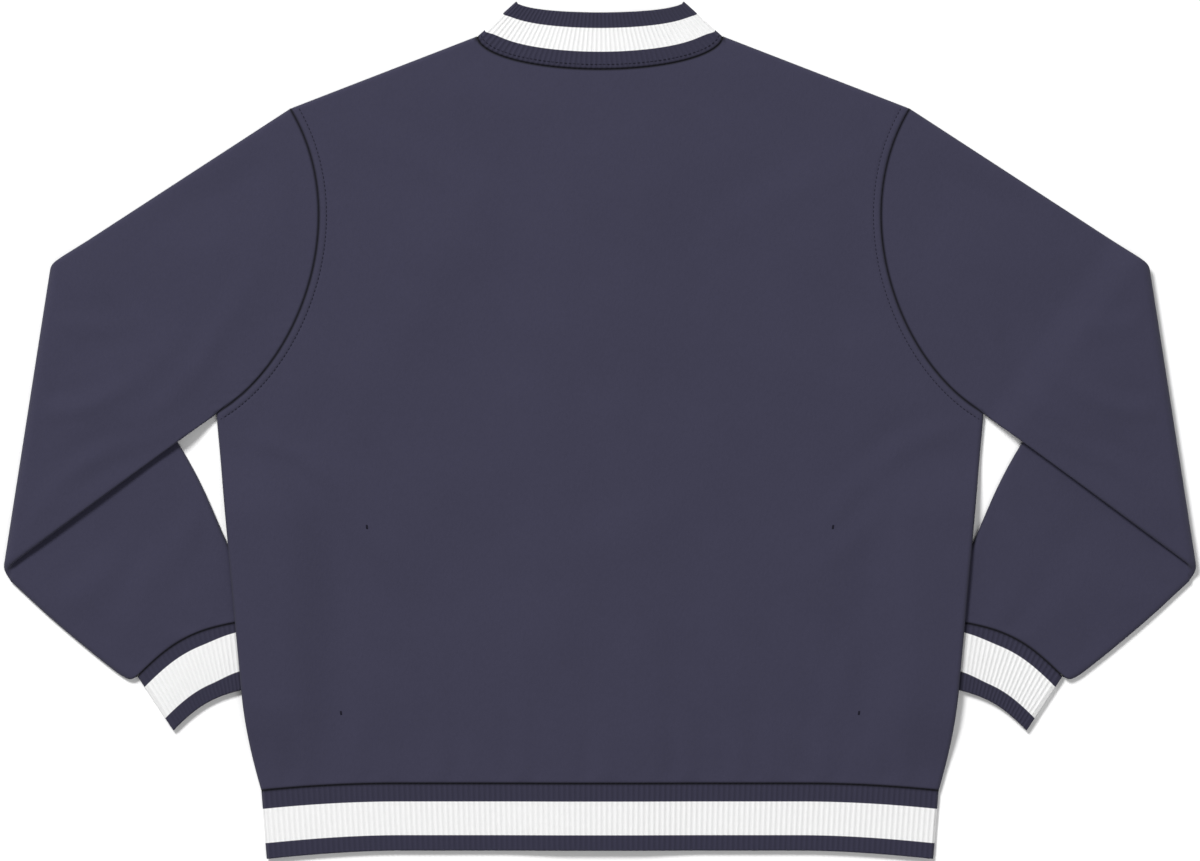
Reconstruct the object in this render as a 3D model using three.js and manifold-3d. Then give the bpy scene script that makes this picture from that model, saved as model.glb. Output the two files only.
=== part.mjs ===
import * as THREE from "three";
import { mergeVertices } from "three/addons/utils/BufferGeometryUtils.js";
import Module from "manifold-3d";

// A varsity jacket laid face down and smoothed flat, so that its back shows, in millimetres.
// X runs to the right across the back, Y from the hem towards the collar, and Z up from the
// surface that it lies on. The origin is on that surface, under the middle of the garment.
// Each sleeve is a flattened tube. It leaves the armhole, folds under at the elbow and comes
// back beside the body, with the inner edge of its cuff under the side seam.

// Layers of cloth
const wall = 3; // shell cloth with its backing, and the doubled knit of the bands
const air = 2; // between two walls that lie on each other
const seamGap = 0.3; // parting between pieces that are sewn together
const tubeHeight = 2 * wall + air; // a flattened tube of cloth
const rollRadius = tubeHeight / 2; // of the rounded edge of such a tube
const innerRoll = rollRadius - wall;
const stackHeight = tubeHeight + seamGap; // one tube lying on another

// Body: distances from the centre line, and heights from the middle of the garment
const neck = { across: 110.5, up: 354.6, backDrop: 30.1, frontDrop: 90 };
const shoulder = { across: 279, up: 289.4 };
const armholeHandles = { top: [220, 192], bottom: [270.5, 58] };
const underarm = { across: 345.6, up: 15.3 };
const sideSeam = { taperPerMm: 0.0915, tuckFromUp: -234, tuck: 9.5 };
const hemSeam = { across: 305, sideUp: -324.6, sideDrop: 6.4, curveFrom: 180 };

// Knitted bands
const rib = { pitch: 4.8, height: 0.8 };
const hemBand = { edgeAcross: 300.2, height: 60.3, sideHeight: 61.5 };
const collar = { edgeAcross: 75.6, edgeUp: 386.1, backDip: 10.3, frontDip: 69, parting: 1.5 };
const collarFrontSteps = 16;
const cuff = {
  seamOuter: [-416.7, -222.3],
  seamInner: [-318.6, -171.9],
  edgeOuter: [-384.6, -270.9],
  edgeInner: [-315, -232.2],
  seamBow: 11,
  edgeBow: 7,
};

// The sleeve at negative X in plan: the elbow fold, and the edges of the forearm below it
const elbow = { top: [-494.1, 149.4], bottom: [-537.3, -126.9], neutralRadius: stackHeight / 2 };
const forearmInner = [[-379.8, -11.7], [-334.8, -103.5], [-309.6, -153]];
const forearmOuter = [[-492.8, -171], [-449.6, -207], [-426.5, -223.6]];

// How far in from the forearm's edge, and where on the body, a layer is lifted by one below it
const liftOverForearm = { from: -44, to: -6 };
const liftOverCuff = { across: [235, 285], top: [-15, -80], bottom: [-312, -245] };

// Front opening, with its two edges overlapping and snaps down the middle
const overlap = { half: 15, frontFlat: 18, frontEnd: 70, backFlat: 25, backEnd: 95 };
const snap = { radius: 7.5, thickness: 1.2, chamfer: 0.6 };
const snapRow = { count: 6, topUp: 246, bottomUp: -296, bandUp: -349 };
const leftRise = snap.thickness + seamGap;
const rightRise = leftRise + wall + seamGap;
const backRise = rightRise + wall + seamGap - (wall + air);

// Front pockets: a welt in a slanted window. Its outer edge runs between these two points.
const welt = { top: [209.7, -85.5], bottom: [233.1, -252.9], width: 22 };

// Soft ridges left in the back and the sleeves: centre, direction in degrees from X, half
// length, half width and height
const backRidges = [
  { x: -190, y: 60, turn: 62, long: 120, wide: 30, high: 1.3 },
  { x: 205, y: 35, turn: 115, long: 105, wide: 34, high: 1.2 },
  { x: -70, y: -180, turn: 84, long: 95, wide: 38, high: 1.1 },
  { x: 120, y: -205, turn: 98, long: 85, wide: 33, high: 1.3 },
  { x: 15, y: 205, turn: 12, long: 120, wide: 40, high: 1.0 },
];
const sleeveRidges = [
  { x: -420, y: 45, turn: 40, long: 95, wide: 28, high: 1.3 },
  { x: -350, y: 165, turn: 28, long: 80, wide: 30, high: 1.1 },
];
const ridgeFade = { atArmhole: 0.35, atElbow: 0.8 }; // shares of the sleeve above the elbow

const navy = { color: 0x403f51, metalness: 0 };
const shellCloth = new THREE.MeshStandardMaterial({ ...navy, roughness: 0.9 });
const knitCloth = new THREE.MeshStandardMaterial({ ...navy, roughness: 0.95 });
const snapMetal = new THREE.MeshStandardMaterial({ color: 0x33323f, roughness: 0.4, metalness: 0.6 });

const jacket = new THREE.Group();

const wasm = await Module();
wasm.setup();

const mix = (a, b, t) => a + (b - a) * t;
const mixPoint = (a, b, t) => [mix(a[0], b[0], t), mix(a[1], b[1], t)];
const evenly = (from, to, count) => Array.from({ length: count }, (_, i) => mix(from, to, i / (count - 1)));
const plan = ([x, y]) => new THREE.Vector2(x, y);

// 0 at from and 1 at to, with a soft start and end
function ease(x, from, to) {
  const t = THREE.MathUtils.clamp((x - from) / (to - from), 0, 1);
  return t * t * (3 - 2 * t);
}

function ridgeHeight(ridges, x, y) {
  return ridges.reduce((sum, r) => {
    const turn = THREE.MathUtils.degToRad(r.turn);
    const along = (x - r.x) * Math.cos(turn) + (y - r.y) * Math.sin(turn);
    const aside = (y - r.y) * Math.cos(turn) - (x - r.x) * Math.sin(turn);
    return sum + r.high * Math.exp(-((along / r.long) ** 2) - (aside / r.wide) ** 2);
  }, 0);
}

// Columns of a panel below the neckline, from the centre line out
const neckColumns = [0, 18, 35, 52, 70, 85, 97, 103, neck.across - rollRadius, neck.across];

// The outline of half the body
const armhole = new THREE.CubicBezierCurve(
  plan([shoulder.across, shoulder.up]),
  plan(armholeHandles.top),
  plan(armholeHandles.bottom),
  plan([underarm.across, underarm.up]),
);
armhole.arcLengthDivisions = 400;
const armholeLength = armhole.getLength();
const shoulderRise = (neck.up - shoulder.up) / (shoulder.across - neck.across);
const shoulderStretch = Math.hypot(1, shoulderRise); // height of a strip along the shoulder, per mm

function sideAcross(up) {
  const tuckShare = Math.max(0, (sideSeam.tuckFromUp - up) / (sideSeam.tuckFromUp - hemSeam.sideUp));
  return underarm.across - sideSeam.taperPerMm * (underarm.up - up) - sideSeam.tuck * tuckShare ** 2;
}

function hemSeamUp(across) {
  const share = Math.max(0, (across - hemSeam.curveFrom) / (hemSeam.across - hemSeam.curveFrom));
  return hemSeam.sideUp + hemSeam.sideDrop * (1 - share ** 2);
}

// The top of a panel: the shoulder seam, or the neckline, which is straight between its columns
function topUp(across, neckDrop) {
  const aside = Math.abs(across);
  if (aside >= neck.across) return neck.up - (aside - neck.across) * shoulderRise;
  const next = neckColumns.findIndex((column) => column > aside);
  const [from, to] = neckColumns.slice(next - 1, next + 1);
  const ellipseUp = (column) => neck.up - neckDrop * Math.sqrt(1 - (column / neck.across) ** 2);
  return mix(ellipseUp(from), ellipseUp(to), (aside - from) / (to - from));
}

// A point of the armhole, its distance from the shoulder given, moved in or out by half a seam
function armholePoint(distance, shift) {
  const share = THREE.MathUtils.clamp(distance / armholeLength, 0, 1);
  const point = armhole.getPointAt(share);
  const along = armhole.getTangentAt(share);
  return [point.x + shift * -along.y, point.y + shift * along.x];
}

// How far the body is lifted by the sleeve end that lies under its side
function bodyLift(x, y) {
  const { across, top, bottom } = liftOverCuff;
  return stackHeight * ease(Math.abs(x), ...across) * ease(y, ...top) * ease(y, ...bottom);
}

const frontRise = (x) => 1 - ease(Math.abs(x), overlap.frontFlat, overlap.frontEnd);
const backMiddleRise = (x) => backRise * (1 - ease(Math.abs(x), overlap.backFlat, overlap.backEnd));

// A closed wall between two grids of points. Where it closes round, the last row meets the first.
function wallBetween(outer, inner, closesRound = false) {
  const rows = outer.length;
  const columns = outer[0].length;
  const points = [...outer.flat(), ...inner.flat()];
  const faces = [];
  const outerAt = (i, j) => (i % rows) * columns + j;
  const innerAt = (i, j) => rows * columns + outerAt(i, j);
  const quad = (a, b, c, d) => faces.push(a, b, c, a, c, d);
  const lastRow = closesRound ? rows : rows - 1;
  for (let i = 0; i < lastRow; i++) {
    for (let j = 0; j < columns - 1; j++) {
      quad(outerAt(i, j), outerAt(i + 1, j), outerAt(i + 1, j + 1), outerAt(i, j + 1));
      quad(innerAt(i, j), innerAt(i, j + 1), innerAt(i + 1, j + 1), innerAt(i + 1, j));
    }
    quad(outerAt(i, 0), innerAt(i, 0), innerAt(i + 1, 0), outerAt(i + 1, 0));
    const end = columns - 1;
    quad(outerAt(i, end), outerAt(i + 1, end), innerAt(i + 1, end), innerAt(i, end));
  }
  for (let j = 0; !closesRound && j < columns - 1; j++) {
    quad(outerAt(0, j), outerAt(0, j + 1), innerAt(0, j + 1), innerAt(0, j));
    const end = rows - 1;
    quad(outerAt(end, j), innerAt(end, j), innerAt(end, j + 1), outerAt(end, j + 1));
  }
  return facingOut(points, faces);
}

// The geometry of a closed surface, with its faces turned to point outwards
function facingOut(points, faces) {
  const corners = points.map((p) => new THREE.Vector3(...p));
  let volume = 0;
  for (let i = 0; i < faces.length; i += 3) {
    const [a, b, c] = [corners[faces[i]], corners[faces[i + 1]], corners[faces[i + 2]]];
    volume += a.dot(new THREE.Vector3().crossVectors(b, c)) / 6;
  }
  const geometry = new THREE.BufferGeometry().setFromPoints(corners);
  geometry.setIndex(volume < 0 ? faces.toReversed() : faces);
  geometry.computeVertexNormals();
  return geometry;
}

function solidOf(geometry) {
  const bare = geometry.clone();
  bare.deleteAttribute("normal");
  bare.deleteAttribute("uv");
  const merged = mergeVertices(bare, 1e-4);
  return new wasm.Manifold(new wasm.Mesh({
    numProp: 3,
    vertProperties: merged.attributes.position.array,
    triVerts: new Uint32Array(merged.index.array),
  }));
}

function cutFrom(geometry, tool) {
  const made = solidOf(geometry).subtract(solidOf(tool)).getMesh();
  const cut = new THREE.BufferGeometry();
  cut.setAttribute("position", new THREE.BufferAttribute(new Float32Array(made.vertProperties), 3));
  cut.setIndex(new THREE.BufferAttribute(new Uint32Array(made.triVerts), 1));
  cut.computeVertexNormals();
  return cut;
}

function add(name, geometry, material) {
  const mesh = new THREE.Mesh(geometry, material);
  mesh.name = name;
  jacket.add(mesh);
}

// Steps round the edge of a flattened tube: the turn of each, from its rim to its flat side
const rollSteps = [0, 45, 90].map(THREE.MathUtils.degToRad);
const rollIn = (turn, radius) => rollRadius - radius * Math.cos(turn);

// Columns of a panel beside the neck, from there out. A strip at each edge is rolled.
const outerColumns = [143, 175, 203, 216, 229, 242, 258];
const bandColumns = [0, 18, 35, 52, 70, 110, 150, 180, 205, 230, 255, 280];
const edgeTurns = rollSteps.toReversed();

// Rows of a panel, from the hem up, by where they meet its side seam or its armhole
const sideRowsUp = [-302, -272, -245, -205, -160, -120, -80, -48, -15];
const armholeRowCount = 9;
const ringCounts = { upper: 10, fold: 6, forearm: 9 }; // along a sleeve

function panelRows() {
  const sideRows = [hemSeam.sideUp + seamGap / 2, ...sideRowsUp, underarm.up].map((up) => ({ up }));
  const armholeRows = evenly(armholeLength - rollRadius, rollRadius, armholeRowCount)
    .map((distance) => ({ distance }));
  const rows = [...sideRows, ...armholeRows];
  rows.forEach((row, i) => (row.share = i / (rows.length - 1)));
  const shoulderRows = rollSteps.slice(0, 2).toReversed().map((turn) => ({ turn }));
  return [...rows, ...shoulderRows];
}

// Where a row of a panel ends, at the side seam or the armhole. Rows along the shoulder have a
// turn, and lie deeper in from it on the inside of the wall, whose radius is smaller.
function rowEnd(row, radius) {
  if (row.up !== undefined) return [sideAcross(row.up), row.up];
  return armholePoint(row.distance ?? rollIn(row.turn, radius), -seamGap / 2);
}

// Where a column crosses a row. The side seam is rolled, and the armhole's edge isn't.
function columnAcross(row, column, endAcross, radius) {
  const edgeRadius = row.up === undefined ? rollRadius : radius;
  if (column.turn !== undefined) return endAcross - rollIn(column.turn, edgeRadius);
  if (column.across <= neck.across) return column.across;
  const share = (column.across - neck.across) / (shoulder.across - rollRadius - neck.across);
  return mix(neck.across, endAcross - rollRadius, share);
}

// Rows run level at the side, and lean towards the seams of the hem and the shoulder inwards
function rowUp(row, column, across, endUp, panel, radius) {
  const onShoulder = across >= neck.across;
  const depth = row.turn === undefined ? rollRadius : rollIn(row.turn, onShoulder ? radius : rollRadius);
  const top = topUp(across, panel.neckDrop) - depth * shoulderStretch - (onShoulder ? 0 : seamGap / 2);
  if (row.turn !== undefined || row.share === 1) return top;
  const low = hemSeamUp(across) + seamGap / 2;
  if (row.share === 0) return low;
  const weight = column.across === undefined ? 1 : ease(column.across, neck.across / 2, shoulder.across);
  return mix(mix(low, top, row.share), endUp, weight);
}

// One point of a panel. Its sign is 1 on the back, which rolls down at its edges, and -1 on a front.
function panelPoint(row, column, panel, radius) {
  const [endAcross, endUp] = rowEnd(row, radius);
  const across = columnAcross(row, column, endAcross, radius);
  const up = rowUp(row, column, across, endUp, panel, radius);
  const sideTurn = row.up === undefined ? undefined : column.turn;
  const shoulderTurn = across >= neck.across ? row.turn : undefined;
  const turn = Math.min(sideTurn ?? Math.PI / 2, shoulderTurn ?? Math.PI / 2);
  const out = Math.max(radius * Math.sin(turn), seamGap / 2);
  const x = column.side * across;
  return [x, up, bodyLift(x, up) + rollRadius + panel.sign * out + panel.rise(x, up)];
}

// A panel from its columns, which run from one of its edges to the other
function panelWall(columns, panel) {
  const grid = (radius) => panelRows().map((row) =>
    columns.map((column) => panelPoint(row, column, panel, radius)));
  return wallBetween(grid(rollRadius), grid(innerRoll));
}

const halfColumns = (side) => [
  ...[...neckColumns, ...outerColumns].map((across) => ({ across, side })),
  ...edgeTurns.map((turn) => ({ turn, side })),
];

function backPanel() {
  const [left, right] = [halfColumns(-1), halfColumns(1)];
  const rise = (x, y) => backMiddleRise(x) + insideBack(x, y) * ridgeHeight(backRidges, x, y);
  return panelWall([...left.toReversed(), ...right.slice(1)], { sign: 1, neckDrop: neck.backDrop, rise });
}

// 1 well inside the back, and 0 along its seams
function insideBack(x, y) {
  const fromSide = sideAcross(Math.min(y, underarm.up)) - Math.abs(x);
  return ease(fromSide, 20, 110) * ease(y, -310, -230) * ease(y, 300, 220);
}

function frontPanel(side, risen) {
  const panel = { sign: -1, neckDrop: neck.frontDrop, rise: (x) => risen * frontRise(x) };
  const overlapEdge = { across: -overlap.half, side };
  return cutFrom(panelWall([overlapEdge, ...halfColumns(side)], panel), weltBox(side, seamGap));
}

// The welt, or its window when it is made larger by a margin all round
function weltBox(side, margin) {
  const [top, bottom] = [plan(welt.top), plan(welt.bottom)];
  const along = top.clone().sub(bottom);
  const length = along.length();
  const inwards = new THREE.Vector2(-along.y, along.x).normalize().multiplyScalar(welt.width / 2);
  const middle = top.clone().add(bottom).multiplyScalar(0.5).add(inwards);
  const box = new THREE.BoxGeometry(welt.width + 2 * margin, length + 2 * margin, wall + 2 * margin);
  box.rotateZ(side * (Math.atan2(along.y, along.x) - Math.PI / 2));
  box.translate(side * middle.x, middle.y, wall / 2);
  return box;
}

// Depth below a rib's crest, at each step of half a rib
const ribDepth = (step) => (step % 2 === 0 ? rib.height : 0);
const ribStepCount = (length) => 2 * Math.round(length / rib.pitch) + 1;

// A place along a band, with its points on the seam and on the free edge, outside and inside.
// One on the fold at the side has the turn of its roll, and any other has its own position.
function bandStation(side, place, half) {
  const station = {};
  for (const [face, radius] of [["outer", rollRadius], ["inner", innerRoll]]) {
    const rolled = place.roll !== undefined;
    const at = rolled ? half.atInset(rollIn(place.roll, radius)) : place.at;
    const [seam, edge] = [half.seamPoint(at), half.edgePoint(at)];
    const sunk = face === "outer" ? place.depth ?? 0 : 0;
    const out = rolled ? radius * Math.sin(place.roll) : radius - sunk;
    const z = rollRadius + half.sign * out + (rolled ? 0 : half.rise(seam[0]));
    station[`${face}Seam`] = [side * seam[0], seam[1], z];
    station[`${face}Edge`] = [side * edge[0], edge[1], z];
  }
  return station;
}

// A band cut as one strip: the left front's part, then the back's and the right front's
function bandWall(frontHalf, frontPlaces, backHalf, backPlaces) {
  const [rim, quarter] = rollSteps.map((roll) => ({ roll }));
  const back = { ...backHalf, sign: 1, rise: backMiddleRise };
  const fromFrontToBack = (side, risen) => {
    const front = { ...frontHalf, sign: -1, rise: (x) => risen * frontRise(x) };
    return [
      ...[...frontPlaces, quarter].map((place) => bandStation(side, place, front)),
      ...[rim, quarter].map((place) => bandStation(side, place, back)),
    ];
  };
  const stations = [
    ...fromFrontToBack(-1, leftRise),
    ...backPlaces.map((place) => bandStation(1, place, back)),
    ...fromFrontToBack(1, rightRise).toReversed(),
  ];
  const rows = (face) => ["Seam", "Edge"].map((line) => stations.map((station) => station[face + line]));
  return wallBetween(rows("outer"), rows("inner"));
}

function hemBandWall() {
  const narrowing = hemBand.edgeAcross / hemSeam.across;
  const height = (across) => {
    const sideShare = ease(Math.abs(across), hemSeam.curveFrom, hemSeam.across);
    return mix(hemBand.height, hemBand.sideHeight, sideShare);
  };
  const half = {
    atInset: (inset) => hemSeam.across - inset,
    seamPoint: (across) => [across, hemSeamUp(Math.abs(across)) - seamGap / 2],
    edgePoint: (across) => [across * narrowing, hemSeamUp(Math.abs(across)) - height(across)],
  };
  const last = hemSeam.across - rollRadius;
  const frontPlaces = [-overlap.half, ...bandColumns, last].map((at) => ({ at }));
  const backAcross = evenly(-last, last, ribStepCount(2 * last));
  return bandWall(half, frontPlaces, half, backAcross.map((at, step) => ({ at, depth: ribDepth(step) })));
}

// The neckline and the collar's free edge are half ellipses, and a place on them is a turn
function collarHalf(seamDrop, edgeDrop) {
  const seamPoint = (turn) => {
    const across = neck.across * Math.cos(turn);
    const inwards = new THREE.Vector2(-Math.cos(turn) / neck.across, Math.sin(turn) / seamDrop);
    inwards.setLength(seamGap);
    return [across + inwards.x, topUp(across, seamDrop) + inwards.y];
  };
  const edgePoint = (turn) => [
    collar.edgeAcross * Math.cos(turn),
    collar.edgeUp - edgeDrop * Math.sin(turn),
  ];
  return { atInset: (inset) => Math.acos(1 - inset / neck.across), seamPoint, edgePoint };
}

// A stretch of the neckline, and the turns that part it into equal lengths
const neckCurve = (drop, from, to) => new THREE.EllipseCurve(0, 0, neck.across, drop, from, to, true);
const neckTurns = (curve, count) =>
  evenly(0, 1, count).map((u) => mix(curve.aStartAngle, curve.aEndAngle, curve.getUtoTmapping(u)));

function collarWall() {
  const back = collarHalf(neck.backDrop, collar.backDip);
  const front = collarHalf(neck.frontDrop, collar.frontDip);
  const sideTurn = back.atInset(rollRadius);
  const middleTurn = Math.acos(collar.parting / neck.across);
  const backCurve = neckCurve(neck.backDrop, Math.PI - sideTurn, sideTurn);
  const frontCurve = neckCurve(neck.frontDrop, middleTurn, sideTurn);
  const backTurns = neckTurns(backCurve, ribStepCount(backCurve.getLength()));
  const frontPlaces = neckTurns(frontCurve, collarFrontSteps).map((at) => ({ at }));
  return bandWall(front, frontPlaces, back, backTurns.map((at, step) => ({ at, depth: ribDepth(step) })));
}

// Places round a flattened tube, from one rim over the top to the other and back underneath.
// An edge place has the turn of its roll, and a flat one its share of the width.
function ringPlaces(topShares, bottomShares) {
  const [rim, quarter, flat] = rollSteps;
  return [
    { turn: rim, from: 0, sign: 1 },
    { turn: quarter, from: 0, sign: 1 },
    { turn: flat, from: 0, sign: 1 },
    ...topShares.map((place) => ({ ...place, sign: 1 })),
    { turn: flat, from: 1, sign: 1 },
    { turn: quarter, from: 1, sign: 1 },
    { turn: rim, from: 1, sign: 1 },
    { turn: quarter, from: 1, sign: -1 },
    { turn: flat, from: 1, sign: -1 },
    ...bottomShares.toReversed().map((place) => ({ ...place, sign: -1 })),
    { turn: flat, from: 0, sign: -1 },
    { turn: quarter, from: 0, sign: -1 },
  ];
}

// How far along a section of that width a place is, and how far out from its middle
function placeOf(place, width, inside) {
  const radius = inside ? innerRoll : rollRadius;
  if (place.turn === undefined) {
    const out = place.sign * (radius - (inside ? 0 : place.depth ?? 0));
    return { along: rollRadius + place.share * (width - 2 * rollRadius), out };
  }
  const inset = rollIn(place.turn, radius);
  const along = place.from === 0 ? inset : width - inset;
  return { along, out: place.sign * radius * Math.sin(place.turn) };
}

// The elbow fold in plan: the axis that the cloth turns about, inside the photographed edge
const foldAlong = plan(elbow.bottom).sub(plan(elbow.top)).normalize();
const foldOut = new THREE.Vector2(foldAlong.y, -foldAlong.x); // away from the body
const foldInset = elbow.neutralRadius + rollRadius;

function onAxis(edgePoint, cornerPoint) {
  const edge = plan(edgePoint).sub(plan(cornerPoint));
  return mixPoint(cornerPoint, edgePoint, foldInset / -edge.dot(foldOut));
}

const axisTop = onAxis([-shoulder.across, shoulder.up], elbow.top);
const axisBottom = onAxis([-underarm.across, underarm.up], elbow.bottom);
const axisLength = plan(axisTop).distanceTo(plan(axisBottom));

// How far the cloth slides along the fold while it turns a quarter, as the sleeve isn't square to it
const slideAtTop = plan(elbow.top).sub(plan(axisTop)).dot(foldAlong);
const slideAtBottom = plan(elbow.bottom).sub(plan(axisBottom)).dot(foldAlong);

// Where the sleeve above the elbow rests on the forearm below it, which starts at the fold
function sleeveLift(x, y) {
  const inner = plan(forearmInner[0]).sub(plan(elbow.top)).normalize();
  const intoForearm = (x - elbow.top[0]) * inner.y - (y - elbow.top[1]) * inner.x;
  return stackHeight * ease(intoForearm, liftOverForearm.from, liftOverForearm.to);
}

// A ring of the sleeve between the armhole, at share 0, and the elbow's axis, at share 1. Its
// top layer has soft ridges, which fade out towards both ends.
function upperRing(share) {
  return (place, inside) => {
    const atArmhole = placeOf(place, armholeLength, inside);
    const atElbow = placeOf(place, axisLength, inside);
    const [across, up] = armholePoint(atArmhole.along, seamGap / 2);
    const elbowPoint = mixPoint(axisTop, axisBottom, atElbow.along / axisLength);
    const [x, y] = mixPoint([-across, up], elbowPoint, share);
    const onTop = place.turn === undefined && place.sign > 0;
    const ridged = onTop ? ease(share, 0, ridgeFade.atArmhole) * ease(share, 1, ridgeFade.atElbow) : 0;
    return [x, y, sleeveLift(x, y) + rollRadius + atElbow.out + ridged * ridgeHeight(sleeveRidges, x, y)];
  };
}

// A ring on the fold itself, turned about the axis from 0 to half a turn
function foldRing(turn) {
  return (place, inside) => {
    const { along, out } = placeOf(place, axisLength, inside);
    const reach = elbow.neutralRadius + out;
    const [x, y] = mixPoint(axisTop, axisBottom, along / axisLength);
    const away = reach * Math.sin(turn);
    const slide = mix(slideAtTop, slideAtBottom, along / axisLength) * (turn / (Math.PI / 2));
    const z = elbow.neutralRadius + rollRadius + reach * Math.cos(turn);
    return [x + foldOut.x * away + foldAlong.x * slide, y + foldOut.y * away + foldAlong.y * slide, z];
  };
}

const innerStart = plan(axisTop).addScaledVector(foldAlong, 2 * slideAtTop);
const outerStart = plan(axisBottom).addScaledVector(foldAlong, 2 * slideAtBottom);
const innerEdge = new THREE.SplineCurve([innerStart, ...[...forearmInner, cuff.seamInner].map(plan)]);
const outerEdge = new THREE.SplineCurve([outerStart, ...[...forearmOuter, cuff.seamOuter].map(plan)]);

// A ring across the sleeve or the cuff below the elbow, bowed and moved towards the elbow. Its
// outer wall faces up where facing is 1, and down where it is -1.
function lowerRing(from, to, bow, moved, facing) {
  const width = from.distanceTo(to);
  const across = to.clone().sub(from).divideScalar(width);
  const back = new THREE.Vector2(across.y, -across.x);
  return (place, inside) => {
    const { along, out } = placeOf(place, width, inside);
    const shift = bow * Math.sin(Math.PI * (along / width)) + moved;
    const point = from.clone().addScaledVector(across, along).addScaledVector(back, shift);
    return [point.x, point.y, rollRadius + facing * out];
  };
}

// A ring of the forearm, from the elbow's axis, at share 0, to the cuff seam, at share 1. The
// fold has turned the tube over.
function forearmRing(share) {
  const bow = cuff.seamBow * share ** 3;
  const moved = share === 1 ? seamGap / 2 : 0;
  return lowerRing(innerEdge.getPointAt(share), outerEdge.getPointAt(share), bow, moved, -1);
}

function sleeveWall(side) {
  const shares = evenly(0, 1, armholeRowCount).slice(1, -1).map((share) => ({ share }));
  const foldTurns = evenly(0, Math.PI, ringCounts.fold + 2).slice(1, -1);
  const rings = [
    ...evenly(0, 1, ringCounts.upper).map(upperRing),
    ...foldTurns.map(foldRing),
    ...evenly(0, 1, ringCounts.forearm).map(forearmRing),
  ];
  return tubeWall(ringPlaces(shares, shares), rings, side);
}

function cuffWall(side) {
  const [inner, outer, edgeInner, edgeOuter] =
    [cuff.seamInner, cuff.seamOuter, cuff.edgeInner, cuff.edgeOuter].map(plan);
  const steps = evenly(0, 1, ribStepCount(inner.distanceTo(outer) - 2 * rollRadius));
  const top = steps.map((share, step) => ({ share, depth: ribDepth(step) })).slice(1, -1);
  const bottom = evenly(0, 1, armholeRowCount).slice(1, -1).map((share) => ({ share }));
  const rings = [
    lowerRing(inner, outer, cuff.seamBow, -seamGap / 2, 1),
    lowerRing(edgeInner, edgeOuter, cuff.edgeBow, 0, 1),
  ];
  return tubeWall(ringPlaces(top, bottom), rings, side);
}

// A wall through rings of one tube. The other side's is its mirror image.
function tubeWall(places, rings, side) {
  const grid = (inside) => places.map((place) => rings.map((ring) => {
    const [x, y, z] = ring(place, inside);
    return [-side * x, y, z];
  }));
  return wallBetween(grid(false), grid(true), true);
}

// A snap's cap, which faces down
function snapCap(up) {
  const profile = [
    [0, 0],
    [snap.radius - snap.chamfer, 0],
    [snap.radius, snap.chamfer],
    [snap.radius, snap.thickness],
    [0, snap.thickness],
  ].map(plan);
  const cap = new THREE.LatheGeometry(profile, 20);
  cap.rotateX(Math.PI / 2);
  cap.translate(0, up, 0);
  return cap;
}

add("back", backPanel(), shellCloth);
add("front_left", frontPanel(-1, leftRise), shellCloth);
add("front_right", frontPanel(1, rightRise), shellCloth);
for (const [name, side] of [["left", -1], ["right", 1]]) {
  add(`sleeve_${name}`, sleeveWall(side), shellCloth);
  add(`cuff_${name}`, cuffWall(side), knitCloth);
  add(`pocket_welt_${name}`, weltBox(side, 0), shellCloth);
}
add("collar", collarWall(), knitCloth);
add("hem_band", hemBandWall(), knitCloth);
[...evenly(snapRow.topUp, snapRow.bottomUp, snapRow.count), snapRow.bandUp].forEach((up, i) => {
  add(`snap_${i + 1}`, snapCap(up), snapMetal);
});

export default jacket;
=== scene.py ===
import math

import bpy
import numpy as np
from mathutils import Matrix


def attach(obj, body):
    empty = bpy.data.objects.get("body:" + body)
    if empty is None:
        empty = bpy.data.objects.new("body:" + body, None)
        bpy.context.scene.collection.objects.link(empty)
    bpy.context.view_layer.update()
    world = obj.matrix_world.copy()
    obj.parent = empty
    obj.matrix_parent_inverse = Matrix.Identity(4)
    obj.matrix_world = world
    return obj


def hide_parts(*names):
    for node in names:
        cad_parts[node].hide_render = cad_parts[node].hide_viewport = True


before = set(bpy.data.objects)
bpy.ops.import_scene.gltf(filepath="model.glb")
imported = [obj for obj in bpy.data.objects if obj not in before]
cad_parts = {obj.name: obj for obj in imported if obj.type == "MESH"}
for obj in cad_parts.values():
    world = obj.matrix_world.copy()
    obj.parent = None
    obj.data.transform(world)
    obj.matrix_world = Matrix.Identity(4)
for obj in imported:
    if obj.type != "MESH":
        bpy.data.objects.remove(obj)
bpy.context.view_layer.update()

# A varsity jacket that lies face down, seen from above. Lengths are in millimetres until a mesh
# is made. X runs to the right across the back, Y from the hem to the collar, and Z up from the floor.
# Left and right are the wearer's, so the left side is at negative X.

metre = 0.001
cloth = {
    "wall": 3.0,
    "rollRadius": 4.0,  # of the rounded edge of a flattened tube
    "seamGap": 0.3,
    "stackHeight": 8.3,  # one flattened tube lying on another
    "seamRound": 2.3,  # how round an edge turns down into its seam
    "seamReach": 3.0,  # how far from a seam its parting fades
    "halfParting": 0.1,  # half of the least space between the layers of a flattened tube
}
body = {
    "neckAcross": 110.5, "neckUp": 354.6, "backDrop": 30.1, "frontDrop": 90.0,
    "shoulderAcross": 279.0, "shoulderUp": 289.4,
    "armholeTop": (220.0, 192.0), "armholeBottom": (270.5, 58.0),
    "underarmAcross": 345.6, "underarmUp": 15.3,
    "sideTaper": 0.0915, "tuckFromUp": -234.0, "tuck": 9.5,
    "hemAcross": 305.0, "hemSideUp": -324.6, "hemSideDrop": 6.4, "hemCurveFrom": 180.0,
    "liftAcross": (235.0, 285.0), "liftTop": (-15.0, -80.0), "liftBottom": (-312.0, -245.0),
}
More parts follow.
